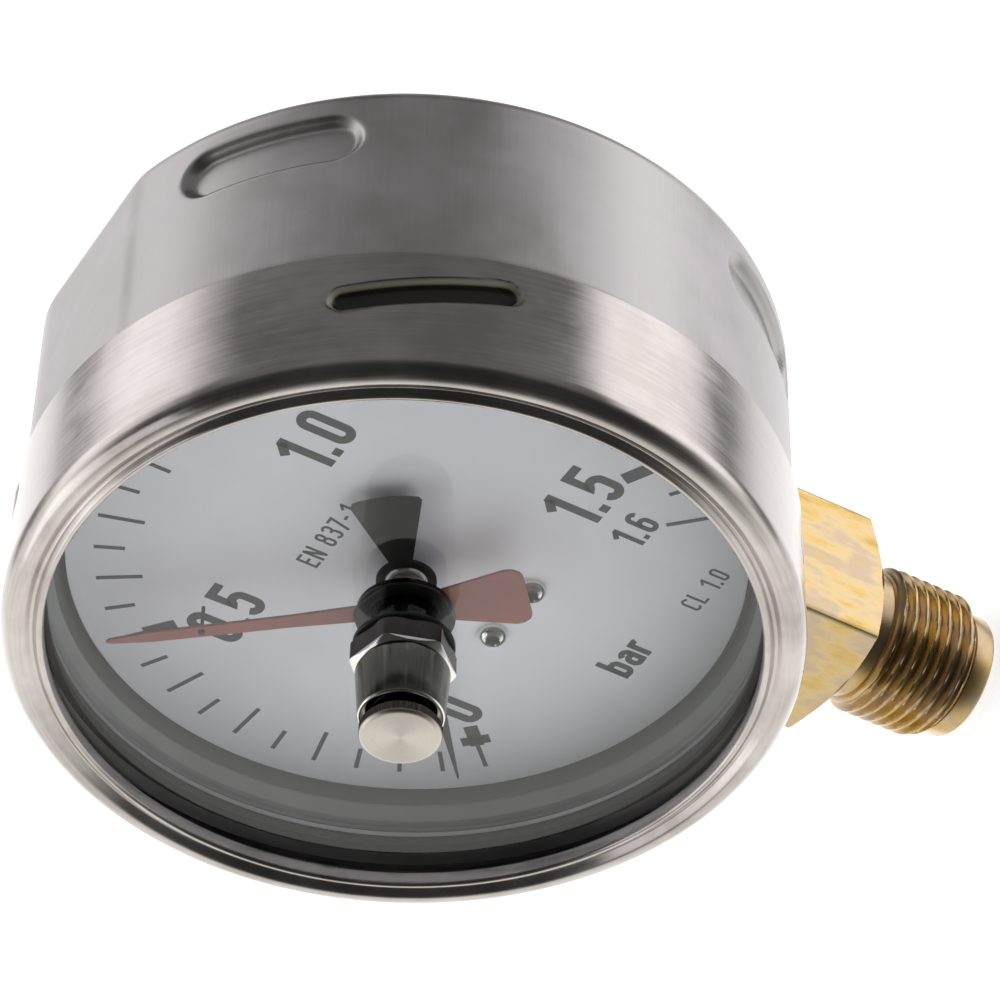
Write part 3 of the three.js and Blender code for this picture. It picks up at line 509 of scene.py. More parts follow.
SUPPORT_GREY = painted("support_grey", (0.17, 0.175, 0.17), (0.22, 0.225, 0.22), (0.4, 0.5), 0.02)
# Painted shade for the support band's rear part, in the gap by the dial's edge.
SUPPORT_PAINTED_SHADE = painted("support_painted_shade", (0.03, 0.032, 0.03), (0.045, 0.048, 0.045), (0.4, 0.5), 0.02)
GLASS = clear_glass("window_glass")


# ---- case and ring --------------------------------------------------------------------------------------
def build_ring():
    """The bayonet ring: a thin drum, a round corner, a groove in the front face, and a bead round the lip."""
    inner = RING_R - RING_WALL
    front = RING_FRONT_Y
    corner_y = front + RING_CORNER
    fine_start, fine_end = RING_DENT_ROWS
    profile = [(inner, RING_REAR_Y), (RING_R - 0.15, RING_REAR_Y)]
    profile += [(RING_R, y) for y in spaced(RING_REAR_Y - 0.15, fine_start, 0.5)]
    profile += [(RING_R, y) for y in spaced(fine_start, fine_end, 0.13)]
    profile += [(RING_R, y) for y in spaced(fine_end, corner_y, 0.6)]
    profile += arc_points((RING_R - RING_CORNER, corner_y), RING_CORNER, 0, -90, 14)
    profile += [(47.85, front + 0.03), (47.6, front + 0.13), (47.2, front + 0.45), (46.85, front + 0.75)]
    profile += [(46.6, front + 0.88), (46.4, front + 0.85), (46.2, front + 0.65), (46.05, front + 0.35)]
    profile += arc_points((RING_LIP_R + 0.5, front + 0.5), 0.5, -25, -180, 9)
    profile += [(RING_LIP_R, -35.8), (RING_LIP_R, -35.1), (RING_LIP_R + 0.1, -34.9), (48.9, -34.9)]
    profile += arc_points((48.9, -34.1), 0.8, -90, 0, 3)
    profile += [(inner, y) for y in spaced(-33.9, RING_REAR_Y - 0.2, 0.6)]

    def shape(radius, y, clock):
        """Presses the outer wall in, and the inner one by what is left of it."""
        pressed = dent_depth(RING_DENT, y, clock)
        followed = np.maximum(pressed - 0.5, 0)
        side = y > corner_y + 0.1
        outer_wall = side & (radius > RING_R - 0.2)
        inner_wall = side & (radius > 49)
        return radius - np.where(outer_wall, pressed, np.where(inner_wall, followed, 0))

    return lathe("ring", profile, RING_STEEL, 720, shape, sharp=40.0)


def case_radius(radius, clock, flat):
    """The drum's radius with the flat at 12 o'clock, its corners a little soft."""
    offset = (clock + 180) % 360 - 180
    beside = np.where(np.abs(offset) < 60, flat / np.maximum(np.cos(np.radians(offset)), 0.5), 99.0)
    soft = 0.5
    blend = np.clip(0.5 + (beside - radius) / (2 * soft), 0, 1)
    return beside * (1 - blend) + radius * blend - soft * blend * (1 - blend)


def case_columns():
    """Clock angles of the case's columns, and the first of those that cross the stem's hole. Two columns are
    exactly at the hole's edges."""
    edge = math.degrees(math.asin(HOLE_HALF / CASE_R))
    beside = [180 + edge + step for step in spaced(0, 360 - 2 * edge, CASE_COLUMN_STEP)]
    across = [180 - edge + step for step in spaced(0, 2 * edge, CASE_COLUMN_STEP)]
    return np.array(beside + across), len(beside)


def case_profile():
    """The case's wall: its outer skin, from the neck's front to the back, and its inner skin, to the rim."""
    neck = CASE_R - CASE_WALL
    rim_y = CASE_RIM_Y + 0.7
    outer = [(neck, y) for y in spaced(rim_y, CASE_STEP_Y - 0.7, 1.5)]
    outer += [(neck, CASE_STEP_Y - 0.45)]
    outer += arc_points((CASE_R - 1.15, CASE_STEP_Y + 1.1), 1.15, -90, 0, 8)
    outer += [(CASE_R, y) for y in spaced(CASE_STEP_Y + 1.5, -HOLE_HALF, 0.5)]
    outer += [(CASE_R, y) for y in spaced(-HOLE_HALF, HOLE_HALF, 0.36)]
    outer += [(CASE_R, HOLE_HALF), (CASE_R, 11.6)]
    outer += arc_points((CASE_R - 3.6, CASE_BACK_Y - 3.6), 3.6, 5, 90, 12)
    inner = arc_points((CASE_R - 3.6, CASE_BACK_Y - CASE_WALL - 2.4), 2.4, 90, 5, 5)
    inner += [(neck, HOLE_HALF)] + [(neck, y) for y in spaced(HOLE_HALF, -HOLE_HALF, 3.0)][1:]
    inner += [(neck, -HOLE_HALF), (neck, CASE_STEP_Y + 0.4), (neck - CASE_WALL, CASE_STEP_Y - 0.2)]
    inner += [(neck - CASE_WALL, rim_y), (CASE_RIM_R, rim_y), (CASE_RIM_R, CASE_RIM_Y)]
    rim = RING_R - RING_WALL - 0.3
    inner += [(rim, CASE_RIM_Y), (rim, rim_y)]
    return outer, inner


def build_case():
    """The drum, with a square hole through both skins where the stem comes in."""
    outer, inner = case_profile()
    profile = outer + inner
    columns, first_hole = case_columns()
    count = len(profile)
    radius, y = (np.repeat(row[:, None], len(columns), 1) for row in np.array(profile, float).T)
    clock = np.repeat(columns[None, :], count, 0)
    neck = CASE_R - CASE_WALL
    drum = (y > CASE_STEP_Y - 0.2) & (radius > 40)
    outside = np.zeros_like(drum)
    outside[: len(outer)] = True
    flat = np.where(outside, CASE_FLAT_H, CASE_FLAT_H - CASE_WALL)
    corner = np.where(outside, CASE_R, neck) - radius
    pressed = case_radius(radius + corner, clock, flat) - corner - dent_depth(CASE_DENT, y, clock)
    radius = np.where(drum, pressed, radius)

    def rows_at(depth):
        return [i for i, (r, y) in enumerate(profile) if abs(y - depth) < 1e-6 and r > neck - 0.1]

    low, high = rows_at(-HOLE_HALF), rows_at(HOLE_HALF)
    cut_rows = set(range(low[0], high[0])) | set(range(high[1], low[1]))
    back_gap = len(outer) - 1
    bm = bmesh.new()
    verts = add_grid(
        bm,
        about_dial(radius, y, clock),
        skip=lambda i, j: i == back_gap or (i in cut_rows and j >= first_hole),
    )
    steps = list(range(first_hole, len(columns))) + [0]
    for near, far in ((low[0], low[1]), (high[0], high[1])):
        for a, b in zip(steps, steps[1:]):
            bm.faces.new((verts[near][a], verts[near][b], verts[far][b], verts[far][a]))
    for column in (first_hole, 0):
        side_a = [verts[i][column] for i in range(low[0], high[0] + 1)]
        side_b = [verts[i][column] for i in range(high[1], low[1] + 1)]
        bm.faces.new(side_a + side_b)
    close_back(bm, (verts[back_gap], verts[back_gap + 1]), (CASE_BACK_Y, CASE_BACK_Y - CASE_WALL))
    weld(bm)
    return mesh_object("case", bm, CASE_STEEL, 40.0)


def close_back(bm, rims, depths):
    """Closes the two skins of the case's back, with a round hole for the blow-out plug through both."""
    clock = np.arange(PLUG_COLUMNS) * 360.0 / PLUG_COLUMNS
    holes = []
    for rim, y in zip(rims, depths):
        points = beside_dial(0, PLUG_UP)(np.full(PLUG_COLUMNS, PLUG_HOLE_R), np.full(PLUG_COLUMNS, y), clock)
        holes.append([bm.verts.new(p) for p in points])
    for rim, hole in zip(rims, holes):
        edges = []
        for ring in (rim, hole):
            for a, b in zip(ring, ring[1:] + ring[:1]):
                edges.append(bm.edges.get((a, b)) or bm.edges.new((a, b)))
        bmesh.ops.triangle_fill(bm, edges=edges, use_beauty=True)
    outer, inner = holes
    for k in range(PLUG_COLUMNS):
        n = (k + 1) % PLUG_COLUMNS
        bm.faces.new((outer[k], outer[n], inner[n], inner[k]))


def build_blowout_plug():
    profile = fillet([
        (0, 13.2, 0), (12.4, 13.2, 0.2), (12.4, 13.9, 0.2), (11, 14.1, 0), (11, 15.3, 0.4),
        (8.5, 15.35, 0.2), (8.0, 14.9, 0.2), (0, 14.9, 0),
    ])
    return lathe("vent_plug", profile, BLACK_RUBBER, 96, place=beside_dial(0, PLUG_UP))


def build_gasket():
    front = [(45.0, GASKET_Y, 0.1), (GASKET_PAINTED_LIGHT_R, GASKET_Y, 0), (49.1, GASKET_Y, 0.1)]
    profile = fillet(front + [(49.1, -28.3, 0), (45.75, -28.3, 0.15)])
    # Painted light: the gasket's outer part, shaded by the ring's lip, takes the paler grey of the support
    # band.
    return lathe("gasket", profile, [GREY_RUBBER, SUPPORT_GREY], tint=lambda r, y: r > GASKET_PAINTED_LIGHT_R)


def build_support_band():
    profile = [(47.0, -27.0), (46.05, -27.0), (45.95, -26.6), (46.2, -26.35), (45.9, -26.1), (45.75, -25.6)]
    profile += [(45.15, -24.0), (44.95, -23.6), (44.98, -23.3), (44.6, -22.6), (44.4, -20.5), (46.6, -20.5)]
    # Painted shade: the band's rear part, in the gap by the dial's edge, takes the dark grey.
    return lathe("band", profile, [SUPPORT_GREY, SUPPORT_PAINTED_SHADE], tint=lambda r, y: y > BAND_EDGE_Y)


def build_window():
    front, rear = WINDOW_Y
    rim = [(WINDOW_R, front, 0.3), (WINDOW_R, rear, 0.3)]
    profile = fillet([(WINDOW_HOLE_R, front, 0)] + rim + [(WINDOW_HOLE_R, rear, 0)])
    return lathe("window", profile, GLASS, 180)


# ---- dial -----------------------------------------------------------------------------------------------
STROKE_LEFT, STROKE_RIGHT, BOWL_R = 0.075, 0.355, 0.14
MIDDLE = (STROKE_LEFT + STROKE_RIGHT) / 2


def loop(low, high, radius=BOWL_R):
    """A closed stadium between two bowl centres, as a centreline."""
    top = arc_points((MIDDLE, high), radius, 0, 180)
    return top + arc_points((MIDDLE, low), radius, 180, 360) + [top[0]]


def glyphs():
    """Centrelines of condensed numbers and letters, one unit high, and each one's width."""
    left, right, mid, r = STROKE_LEFT, STROKE_RIGHT, MIDDLE, BOWL_R
    low, high, top = 0.215, 0.785, 0.925
    lower_bowl = arc_points((mid, 0.44), r, 150, 0) + arc_points((mid, low), r, 0, -168)
    return {
        "0": (0.43, [loop(low, high)]),
        "1": (0.38, [[(0.30, 0), (0.30, 1)], [(0.285, 0.93), (0.07, 0.745)]]),
        "3": (0.43, [
            arc_points((mid, high), r, 165, 0) + arc_points((mid, 0.68), r, 0, -90, 6),
            [(0.15, 0.54)] + arc_points((mid, 0.40), r, 90, 0, 6) + arc_points((mid, low), r, 0, -168),
        ]),
        "5": (0.43, [[(0.40, top), (left, top), (left, 0.50)] + lower_bowl]),
        "6": (0.43, [loop(low, 0.42), [(left, 0.40)] + arc_points((mid, high), r, 180, 12)]),
        "7": (0.43, [[(0.02, top), (right, top), (0.15, 0)]]),
        "8": (0.43, [loop(low, 0.40), loop(0.67, 0.795, 0.128)]),
        "b": (0.43, [[(left, 0), (left, 1)], loop(low, 0.49)]),
        "a": (0.43, [
            [(right, 0)] + arc_points((mid, 0.49), r, 0, 160),
            [(right, 0.41), (0.2, 0.41)] + arc_points((0.2, 0.29), 0.12, 90, 180, 5)
            + arc_points((0.2, 0.19), 0.12, 180, 270, 5) + [(right, 0.075)],
        ]),
        "r": (0.34, [[(left, 0), (left, 0.7)], arc_points((mid, 0.485), r, 175, 55, 8)]),
        "C": (0.43, [arc_points((mid, high), r, 12, 180) + arc_points((mid, low), r, 180, 348)]),
        "L": (0.40, [[(left, 1), (left, left), (0.38, left)]]),
        "E": (0.42, [[(0.40, top), (left, top), (left, left), (0.40, left)], [(left, 0.52), (0.36, 0.52)]]),
        "N": (0.46, [[(left, 0), (left, 0.98)], [(left, 0.95), (0.385, 0.05)], [(0.385, 0.02), (0.385, 1)]]),
        "-": (0.30, [[(0.04, 0.42), (0.26, 0.42)]]),
        ".": (0.16, [[(0.08, 0), (0.08, 0.15)]]),
        " ": (0.24, []),
    }


def ribbon(bm, line, half):
    """Adds a thin raised stroke of ink that follows a line of (x, z) points."""
    points = np.array([p for k, p in enumerate(line) if k == 0 or math.dist(p, line[k - 1]) > 1e-5], float)
    closed = math.dist(points[0], points[-1]) < 1e-3
    if closed:
        points = points[:-1]
    ahead = np.roll(points, -1, 0) - points
    behind = np.roll(ahead, 1, 0)
    if not closed:
        ahead[-1], behind[0] = ahead[-2], ahead[0]
    ahead /= np.linalg.norm(ahead, axis=1)[:, None]
    behind /= np.linalg.norm(behind, axis=1)[:, None]
    normal_a = np.stack([-ahead[:, 1], ahead[:, 0]], 1)
    normal_b = np.stack([-behind[:, 1], behind[:, 0]], 1)
    mitre = normal_a + normal_b
    mitre /= np.maximum((mitre * normal_a).sum(1), 0.6)[:, None]
    sides = (points + mitre * half, points - mitre * half)
    ring = []
    for side, depth in ((0, INK_Y), (1, INK_Y), (1, INK_REAR_Y), (0, INK_REAR_Y)):
        ring.append([(x, depth, DIAL_AXIS_Z + z) for x, z in sides[side]])
    verts = add_grid(bm, np.array(ring), wrap_rows=True, wrap_columns=closed)
    if not closed:
        for k in (0, -1):
            bm.faces.new([row[k] for row in verts])


def write(bm, text, centre, height, stroke, stretch):
    """Writes a line of text about its centre on the dial."""
    table = glyphs()
    width = sum(table[c][0] for c in text) + LETTER_GAP * (len(text) - 1)
    x = centre[0] - width * stretch * height / 2
    z = centre[1] - height / 2
    for character in text:
        advance, lines = table[character]
        for line in lines:
            ribbon(bm, [(x + u * stretch * height, z + v * height) for u, v in line], stroke / 2)
        x += (advance + LETTER_GAP) * stretch * height


def mark(bm, clock, start, end=MARK_END_R, width=MARK_WIDTH):
    """A radial mark of the scale."""
    ribbon(bm, turned([(0, start), (0, end)], clock), width / 2)


def build_dial():
    """The dial plate and everything printed on it."""
    bm = bmesh.new()
    for step in range(round(SCALE_TOP / SCALE_STEP) + 1):
        clock = SCALE_START + SCALE_SWEEP * step * SCALE_STEP / SCALE_TOP
        if step in (0, 10, 20, 30):
            thick_start = 31.5 if step == 0 else 32.0
            thick_end = 35.5 if step == 0 else 36.5
            mark(bm, clock, thick_start, thick_end, MARK_THICK)
            mark(bm, clock, thick_end)
        else:
            mark(bm, clock, 33.9 if step % 2 == 0 else 35.9)
        if step == 0:
            ribbon(bm, turned([(-1.95, 34.4), (1.95, 34.4)], clock), 0.8)
    for label in LABELS:
        write(bm, *label)
    weld(bm, 1e-5)
    front, rear = DIAL_Y
    plate = fillet([(0, front, 0), (DIAL_R, front, 0.15), (DIAL_R, rear, 0.15), (0, rear, 0)])
    return lathe("dial", plate, DIAL_PAINT), mesh_object("dial_print", bm, INK)


def build_dial_screw(name, x, z):
    """A domed screw head with a six-pointed recess, whose inside is painted dark as painted shade."""
    seat = DIAL_Y[0] - 0.02
    profile = [(0, seat - 0.5), (0.88, seat - 0.5), (0.92, seat - 1.2), (1.02, seat - 1.3)]
    profile += [(1.28, seat - 1.22), (1.6, seat - 0.98), (1.85, seat - 0.6), (1.95, seat - 0.25)]
    profile += [(1.95, seat), (0, seat)]

    def shape(radius, y, clock):
        recess = (radius > 0.1) & (radius < 1.0) & (y < seat - 0.3)
        return np.where(recess, radius * (1 + 0.13 * np.cos(np.radians(6 * clock))), radius)

    # Painted shade: the inside of the recess takes the black bushing metal.
    def dark(r, y):
        return r < 0.95 and y < seat - 0.1

    return lathe(name, profile, [SCREW_STEEL, BUSHING_METAL], 72, shape, beside_dial(x, z), tint=dark)


# ---- pointers -------------------------------------------------------------------------------------------
def build_pointer():
    """The instrument pointer with its fan-shaped tail, and the bright cap on its hub."""
    blade = [(0.12, BLADE_TIP_R), (0.75, 24.0), (1.1, 3.75)]
    eye = arc_points((0, 0), 3.9, 72, -68, 14)
    fan = [(4.55, -14.2)] + arc_points((0, 0), 15.4, -74.0, -90, 5)[:-1] + [(0.0, -15.4)]
    needle = bevelled_plate("pointer", mirrored(blade + eye + fan), POINTER_Y, POINTER_CLOCK, BLACK_PAINT)
    front = POINTER_Y - 0.02
    cap = [(0, front - 0.6), (0.8, front - 0.6), (0.95, front - 0.95), (1.5, front - 1.0)]
    cap += [(1.75, front - 0.75), (2.0, front - 0.7), (2.25, front - 0.95), (2.6, front - 0.85)]
    cap += [(2.9, front - 0.3), (2.95, front), (0, front)]
    return needle, lathe("pointer_cap", cap, BRIGHT_METAL, 96)


def build_drag_pointer():
    """The red pointer with its tail, and the pin that the instrument pointer pushes."""
    blade = [(0.06, BLADE_TIP_R), (0.35, 38.3), (0.85, 33.0), (1.0, 15.0), (1.4, 4.4)]
    eye = arc_points((0, 0), 4.6, 68, -58, 12)
    tail = [(4.75, -12.9), (4.9, -13.6), (4.75, -14.6), (4.2, -15.4), (3.5, -15.7)]
    drag = bevelled_plate("set_pointer", mirrored(blade + eye + tail), DRAG_Y, DRAG_CLOCK, RED_PAINT)
    head, step = DRAG_Y - 0.25, DRAG_Y - 0.02
    profile = fillet([
        (0, head, 0), (0.45, head, 0.1), (0.45, step, 0),
        (0.24, step, 0), (0.24, DRIVER_PIN_END_Y, 0.1), (0, DRIVER_PIN_END_Y, 0),
    ])
    x, z = turned([(0, DRIVER_PIN_R)], DRAG_CLOCK)[0]
    return drag, lathe("set_pointer_pin", profile, BLACK_PAINT, 32, place=beside_dial(x, z))


# ---- knob -----------------------------------------------------------------------------------------------
def build_knob():
    """A disc with a turned face and a knurled rim."""
    front, rear = KNOB_Y
    profile = [(0, front), (0.5, front), (0.55, front), (4.5, front), (4.75, front + 0.02)]
    profile += [(4.95, front + 0.12), (5.1, front + 0.3), (5.2, front + 0.42)]
    profile += [(5.2, rear - 0.12), (5.05, rear), (0, rear)]

    def shape(radius, y, clock):
        ribs = 0.5 + 0.5 * np.cos(np.radians(clock * KNOB_RIBS))
        return np.where((radius > 5.15) & (y > front + 0.4), radius - 0.14 * ribs, radius)

    def rim(r, y):
        return y >= front + 0.4

    return lathe("knob", profile, [KNOB_FACE, KNURL_METAL], 720, shape, sharp=25.0, tint=rim)


def build_cone():
    profile = fillet([
        (4.5, -46.1, 0), (4.95, -46.1, 0), (5.0, -47.0, 0.05), (5.3, -47.1, 0.1), (5.45, -46.9, 0.1),
        (6.0, -39.9, 0.15), (5.9, -39.6, 0), (4.5, -39.6, 0),
    ])

    def edge(r, y):
        return y < -46.75 and r > 4.97

    return lathe("cone", profile, [CONE_METAL, BRIGHT_METAL], 180, sharp=25.0, tint=edge)


def build_nut():
    """A hexagon nut whose turned chamfers cut crescents into its flats."""
    front, rear = NUT_Y
    depths = [0, 0.06] + list(np.linspace(0.12, 1.0, 14)) + [1.6, 2.6, 3.1, 3.3, 3.5]
    outer = [(2 * NUT_HALF / math.sqrt(3), front + depth) for depth in depths]
    profile = [(4.5, front)] + outer + [(4.5, rear)]

    def shape(radius, y, clock):
        side = np.mod(clock - NUT_CLOCK + 30, 60) - 30
        flats = NUT_HALF / np.cos(np.radians(side)) - 0.12 * np.clip((np.abs(side) - 27) / 3, 0, 1)
        chamfer = 5.75 + (y - front) * 1.75
        under = 6.5 + (rear - y) * 1.7
        return np.where(radius > 5, np.minimum(np.minimum(flats, chamfer), under), radius)

    def bright(r, y):
        return y < front + 0.62

    return lathe("nut", profile, [NUT_METAL, BRIGHT_METAL], 360, shape, sharp=20.0, tint=bright)


def build_window_fittings():
    """The washers on both sides of the window, the bushing through it, and the friction spring."""
    washer = fillet([(4.5, -35.5, 0), (6.5, -35.5, 0.15), (6.5, -34.9, 0.15), (4.5, -34.9, 0)])
    inner = fillet([(4.5, -30.3, 0), (6.4, -30.3, 0.1), (6.4, -29.9, 0.1), (4.5, -29.9, 0)])
    bushing = [(1.8, -46.4), (3.8, -46.4), (4.2, -46.0), (4.2, -29.7), (6.2, -29.6)]
    bushing += [(6.2, -29.1), (1.8, -29.1)]
    spring = fillet([(2, -48.1, 0), (4.0, -47.75, 0.1), (4.0, -47.45, 0.1), (2, -47.8, 0)])
    return (
        lathe("washer_front", washer, BLACK_RUBBER, 96),
        lathe("washer_rear", inner, BLACK_RUBBER, 96),
        lathe("bushing", bushing, BUSHING_METAL, 96),
        lathe("spring_washer", spring, BLACK_PAINT, 96),
    )


# ---- stem -----------------------------------------------------------------------------------------------
def thread_radius(z, angle):
    """A right-hand helix that runs out into the neck and has a lead-in chamfer at its lower end."""
    phase = (z / THREAD_PITCH - angle / 360.0) % 1.0
    height = np.clip(0.5 - 0.62 * np.cos(2 * math.pi * phase), 0.06, 1.0)
    fade = np.clip((16.6 - z) / 1.2, 0, 1)
    radius = THREAD_ROOT_R + (THREAD_R - THREAD_ROOT_R) * height * fade
    return np.minimum(radius, COLLAR_R + (z - 3.1) * 1.1)


def block_radius(z, angle):
    """The square block with its corners broken, and a turned chamfer at its lower end."""
    side = np.abs((angle + 45) % 90 - 45)
    square = np.minimum(BLOCK_HALF / np.cos(np.radians(side)), math.hypot(BLOCK_HALF, BLOCK_HALF) - 0.2)
    chamfer = 11.3 + (z - BLOCK_END_Z) * 3.0
    gap = np.clip(0.5 + (chamfer - square) / 0.3, 0, 1)
    return chamfer * (1 - gap) + square * gap - 0.15 * gap * (1 - gap)


def build_stem():
    """One bar of brass: bore, collar, thread, neck and square block, and the movement's seat above them."""
    rows = [(1.9, 12.0), (1.9, 0.35), (2.2, 0), (COLLAR_R - 0.5, 0), (COLLAR_R - 0.15, 0.12)]
    rows += [(COLLAR_R, 0.45), (COLLAR_R, 2.9), (COLLAR_R - 0.25, 3.0), (COLLAR_R - 0.25, 3.15)]
    rows += [(thread_radius, z) for z in spaced(3.35, THREAD_END_Z, 0.13)]
    rows += [(NECK_R, THREAD_END_Z), (NECK_R, 19.75), (9.25, BLOCK_END_Z), (11.2, BLOCK_END_Z)]
    rows += [(block_radius, z) for z in spaced(20.02, 21.6, 0.06) + [BLOCK_TOP_Z]]
    rows += [(BORE_R, BLOCK_TOP_Z + 0.1), (BORE_R, 12.0)]
    angle = np.arange(STEM_COLUMNS) * 360.0 / STEM_COLUMNS
    points = []
    for radius, z in rows:
        depth = np.full(STEM_COLUMNS, z)
        around = radius(depth, angle) if callable(radius) else np.full(STEM_COLUMNS, radius)
        points.append(about_stem(around, depth, angle))
    bm = bmesh.new()
    add_grid(bm, np.array(points), material=lambda i: int(rows[i][1] < 19.9))
    weld(bm)
    seat = [(-16, -7.5), (11, -7.5), (11, 7.5), (-16, 7.5)]
    add_bar(bm, np.array([[(x, y, z) for x, y in seat] for z in (43.55, 60.0)]))
    return mesh_object("stem_outside", bm, [STEM_BRASS, THREAD_BRASS], 28.0)


# ---- stage ----------------------------------------------------------------------------------------------
CAMERA_AT = (350.71, -393.02, 273.73)
CAMERA_AZIMUTH, CAMERA_ELEVATION, CAMERA_ROLL = 41.946, 20.886, -67.280
CAMERA_LENS = 153.51
FLOOR_Z = -0.5
FLOOR_HALF = 3000

# Brightness of the room in front of the object, by the angle from the camera's side in degrees.
FRONT_LEVELS = ((0, 0.03), (50, 0.05), (66, 0.12), (78, 0.7), (90, 1.15), (180, 1.15))
FRONT_TINT = (0.99, 1.0, 0.95)
# Brightness of the room behind the object, by the angle from straight up towards +X in degrees.
REAR_LEVELS = (
    (-180, 1.2), (-157, 1.45), (-144, 1.65), (-105, 1.75), (-80, 1.45), (-63, 1.3), (-58, 0.45), (-50, 0.2),
    (-42, 0.55), (-35, 1.5), (-20, 1.6), (-8, 1.2), (0, 0.6), (8, 0.22), (50, 0.19), (90, 0.2), (109, 0.22),
    (115, 1.0), (121, 1.8), (140, 1.8), (152, 1.4), (159, 0.25), (168, 0.15), (174, 0.9), (180, 1.2),
)
REAR_TINT = (1.0, 1.0, 1.0)
BRIGHTEST = 2.0  # level of a full colour ramp


def build_camera():
    camera = bpy.data.cameras.new("camera")
    camera.lens = CAMERA_LENS
    camera.sensor_width = 36.0
    camera.clip_end = 20.0
    obj = bpy.data.objects.new("camera", camera)
    bpy.context.scene.collection.objects.link(obj)
    place = Matrix.Translation([c * MM for c in CAMERA_AT])
    for angle, axis in ((CAMERA_AZIMUTH, "Z"), (90 - CAMERA_ELEVATION, "X"), (CAMERA_ROLL, "Z")):
        place = place @ Matrix.Rotation(math.radians(angle), 4, axis)
    obj.matrix_world = place
    bpy.context.scene.camera = obj


def build_floor():
    """A pale floor that metal doesn't mirror, so that the room alone draws the reflections."""
    side = np.linspace(-FLOOR_HALF, FLOOR_HALF, 9)
    points = np.array([[(x, y, FLOOR_Z) for x in side] for y in side])
    bm = bmesh.new()
    add_grid(bm, points, wrap_rows=False, wrap_columns=False)
    shader = Shader("floor", Metallic=0.0, Roughness=0.9, Specular_IOR_Level=0.1)
    cloud = shader.noise(shader.coordinates, scale=1.5, detail=1.0)
    shader.fill(Base_Color=shader.ramp(cloud, (0.0, (0.84, 0.84, 0.84)), (1.0, (0.88, 0.88, 0.88))))
    shader.fill(Emission_Color=(1, 1, 1, 1), Emission_Strength=0.75)
    floor = mesh_object("floor", bm, shader.material)
    floor.visible_glossy = False


def room_side(room, radians, table, tint):
    """A background whose brightness follows a table of angles in degrees and levels."""
    start, end = table[0][0], table[-1][0]
    stops = [
        ((angle - start) / (end - start), tuple(level * channel / BRIGHTEST for channel in tint))
        for angle, level in table
    ]
    degrees = room.math("MULTIPLY", radians, 180 / math.pi)
    place = room.math("DIVIDE", room.math("SUBTRACT", degrees, start), end - start)
    return room.add("Background", {"Color": room.ramp(place, *stops), "Strength": BRIGHTEST}).outputs[0]


def build_world():
    """A studio. Behind the object its brightness depends on the angle about the dial's axis, and it is dark
    straight behind. In front it depends on the angle from the camera, whose side of the room is dark. The
    camera itself sees plain white."""
    world = bpy.data.worlds.new("studio")
    bpy.context.scene.world = world
    world.use_nodes = True
    room = Nodes(world.node_tree)
    direction = room.add("TexCoord").outputs["Generated"]
    x, y, z = room.split(direction)
    azimuth, elevation = math.radians(CAMERA_AZIMUTH), math.radians(CAMERA_ELEVATION)
    level = math.cos(elevation)
    camera_side = (level * math.sin(azimuth), -level * math.cos(azimuth), math.sin(elevation))
    from_camera = room.math("ARCCOSINE", room.vector_math("DOT_PRODUCT", direction, camera_side)["Value"])
    front = room_side(room, from_camera, FRONT_LEVELS, FRONT_TINT)
    rear = room_side(room, room.math("ARCTAN2", x, z), REAR_LEVELS, REAR_TINT)
    dark = room.add("Background", {"Color": (0, 0, 0, 1)}).outputs[0]
    rear = room.mixed_shaders(room.spread(y, 0.85, 0.97, 0.0, 0.85), rear, dark)
    behind = room.spread(y, -0.15, 0.2, 0.0, 1.0, interpolation_type="SMOOTHSTEP")
    studio = room.mixed_shaders(behind, front, rear)
    plain = room.nodes["Background"]
    plain.inputs["Color"].default_value = (1, 1, 1, 1)
    seen = room.add("LightPath").outputs["Is Camera Ray"]
    shown = room.mixed_shaders(seen, studio, plain.outputs[0])
    room.links.new(shown, room.nodes["World Output"].inputs["Surface"])


def build_key_light():
    light = bpy.data.lights.new("key", "AREA")
    light.size = 0.7
    light.energy = 1.5
    obj = bpy.data.objects.new("key", light)
    bpy.context.scene.collection.objects.link(obj)
    at, towards = Vector((-500, -700, 700)), Vector((0, -20, DIAL_AXIS_Z))
    obj.location = at * MM
    obj.rotation_euler = (towards - at).to_track_quat("-Z", "Y").to_euler()


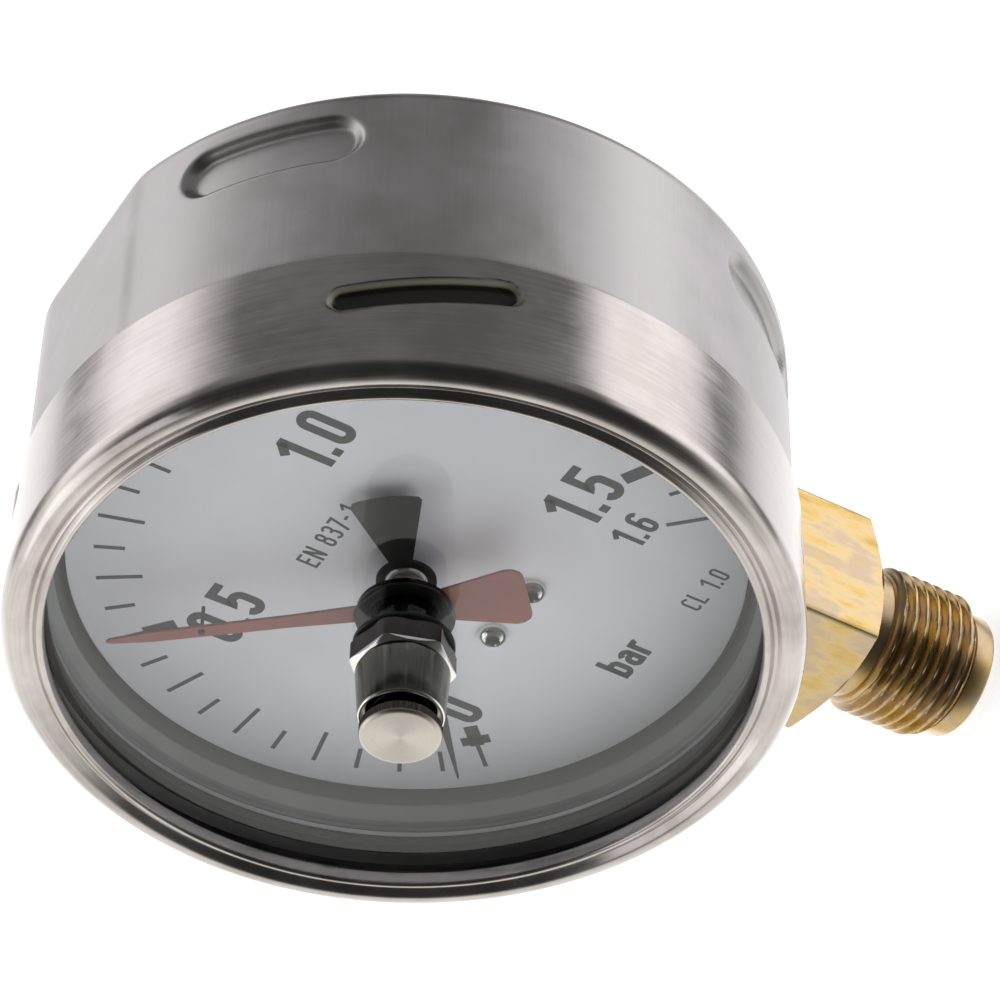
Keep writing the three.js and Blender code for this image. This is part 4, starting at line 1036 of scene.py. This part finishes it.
# ---- assembly -------------------------------------------------------------------------------------------
def attach(piece, body, slot, *nodes):
    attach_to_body(piece, body)
    if nodes:
        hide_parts(*nodes)


def build_gauge():
    attach(build_ring(), "ring", "case_steel", "bayonet_ring")
    attach(build_case(), "housing", "case_steel", "case_shell")
    attach(build_blowout_plug(), "housing", "rubber", "blowout_plug")
    attach(build_gasket(), "housing", "rubber", "window_gasket")
    attach(build_support_band(), "housing", "grey_plastic", "support_ring")
    attach(build_window(), "housing", "window", "window_pane")
    dial, ink = build_dial()
    attach(dial, "housing", "dial_white", "dial_plate")
    attach(ink, "housing", "pointer_black")
    for side, (x, z) in zip(("left", "right"), DIAL_SCREWS):
        attach(build_dial_screw(f"face_screw_{side}", x, z), "housing", "steel", f"dial_screw_{side}")
    needle, cap = build_pointer()
    attach(needle, "pointer", "pointer_black", "instrument_pointer")
    attach(cap, "pointer", "steel", "pointer_hub")
    drag, pin = build_drag_pointer()
    attach(drag, "drag", "pointer_red", "drag_pointer")
    attach(pin, "drag", "pointer_red", "driver_pin")
    attach(build_knob(), "drag", "satin_steel", "knob_disc")
    attach(build_cone(), "housing", "dark_steel", "cone_sleeve")
    attach(build_nut(), "housing", "dark_steel", "hex_nut")
    washer_front, washer_rear, bushing, spring = build_window_fittings()
    attach(washer_front, "housing", "rubber", "outer_washer")
    attach(washer_rear, "housing", "rubber", "inner_washer")
    attach(bushing, "housing", "dark_steel", "window_bushing")
    attach(spring, "housing", "dark_steel", "friction_spring")
    attach(build_stem(), "housing", "brass", "stem")


NODE_MATERIALS = {
    "brass": MOVEMENT_BRASS,
    "copper_alloy": TUBE_COPPER,
    "rubber": BLACK_RUBBER,
}


def dress_nodes():
    """Gives every CAD node that still shows a finish of its own. The rest of them are steel."""
    slots = {row["node"]: row["material_slot"] for row in frame["record"]["subparts"]}
    for name, obj in frame["nodes"].items():
        if obj.hide_render:
            continue
        obj.data.materials.clear()
        obj.data.materials.append(NODE_MATERIALS.get(slots[name], SCREW_STEEL))


bpy.context.scene.view_settings.view_transform = "Standard"
build_camera()
build_world()
build_floor()
build_gauge()
dress_nodes()
build_key_light()
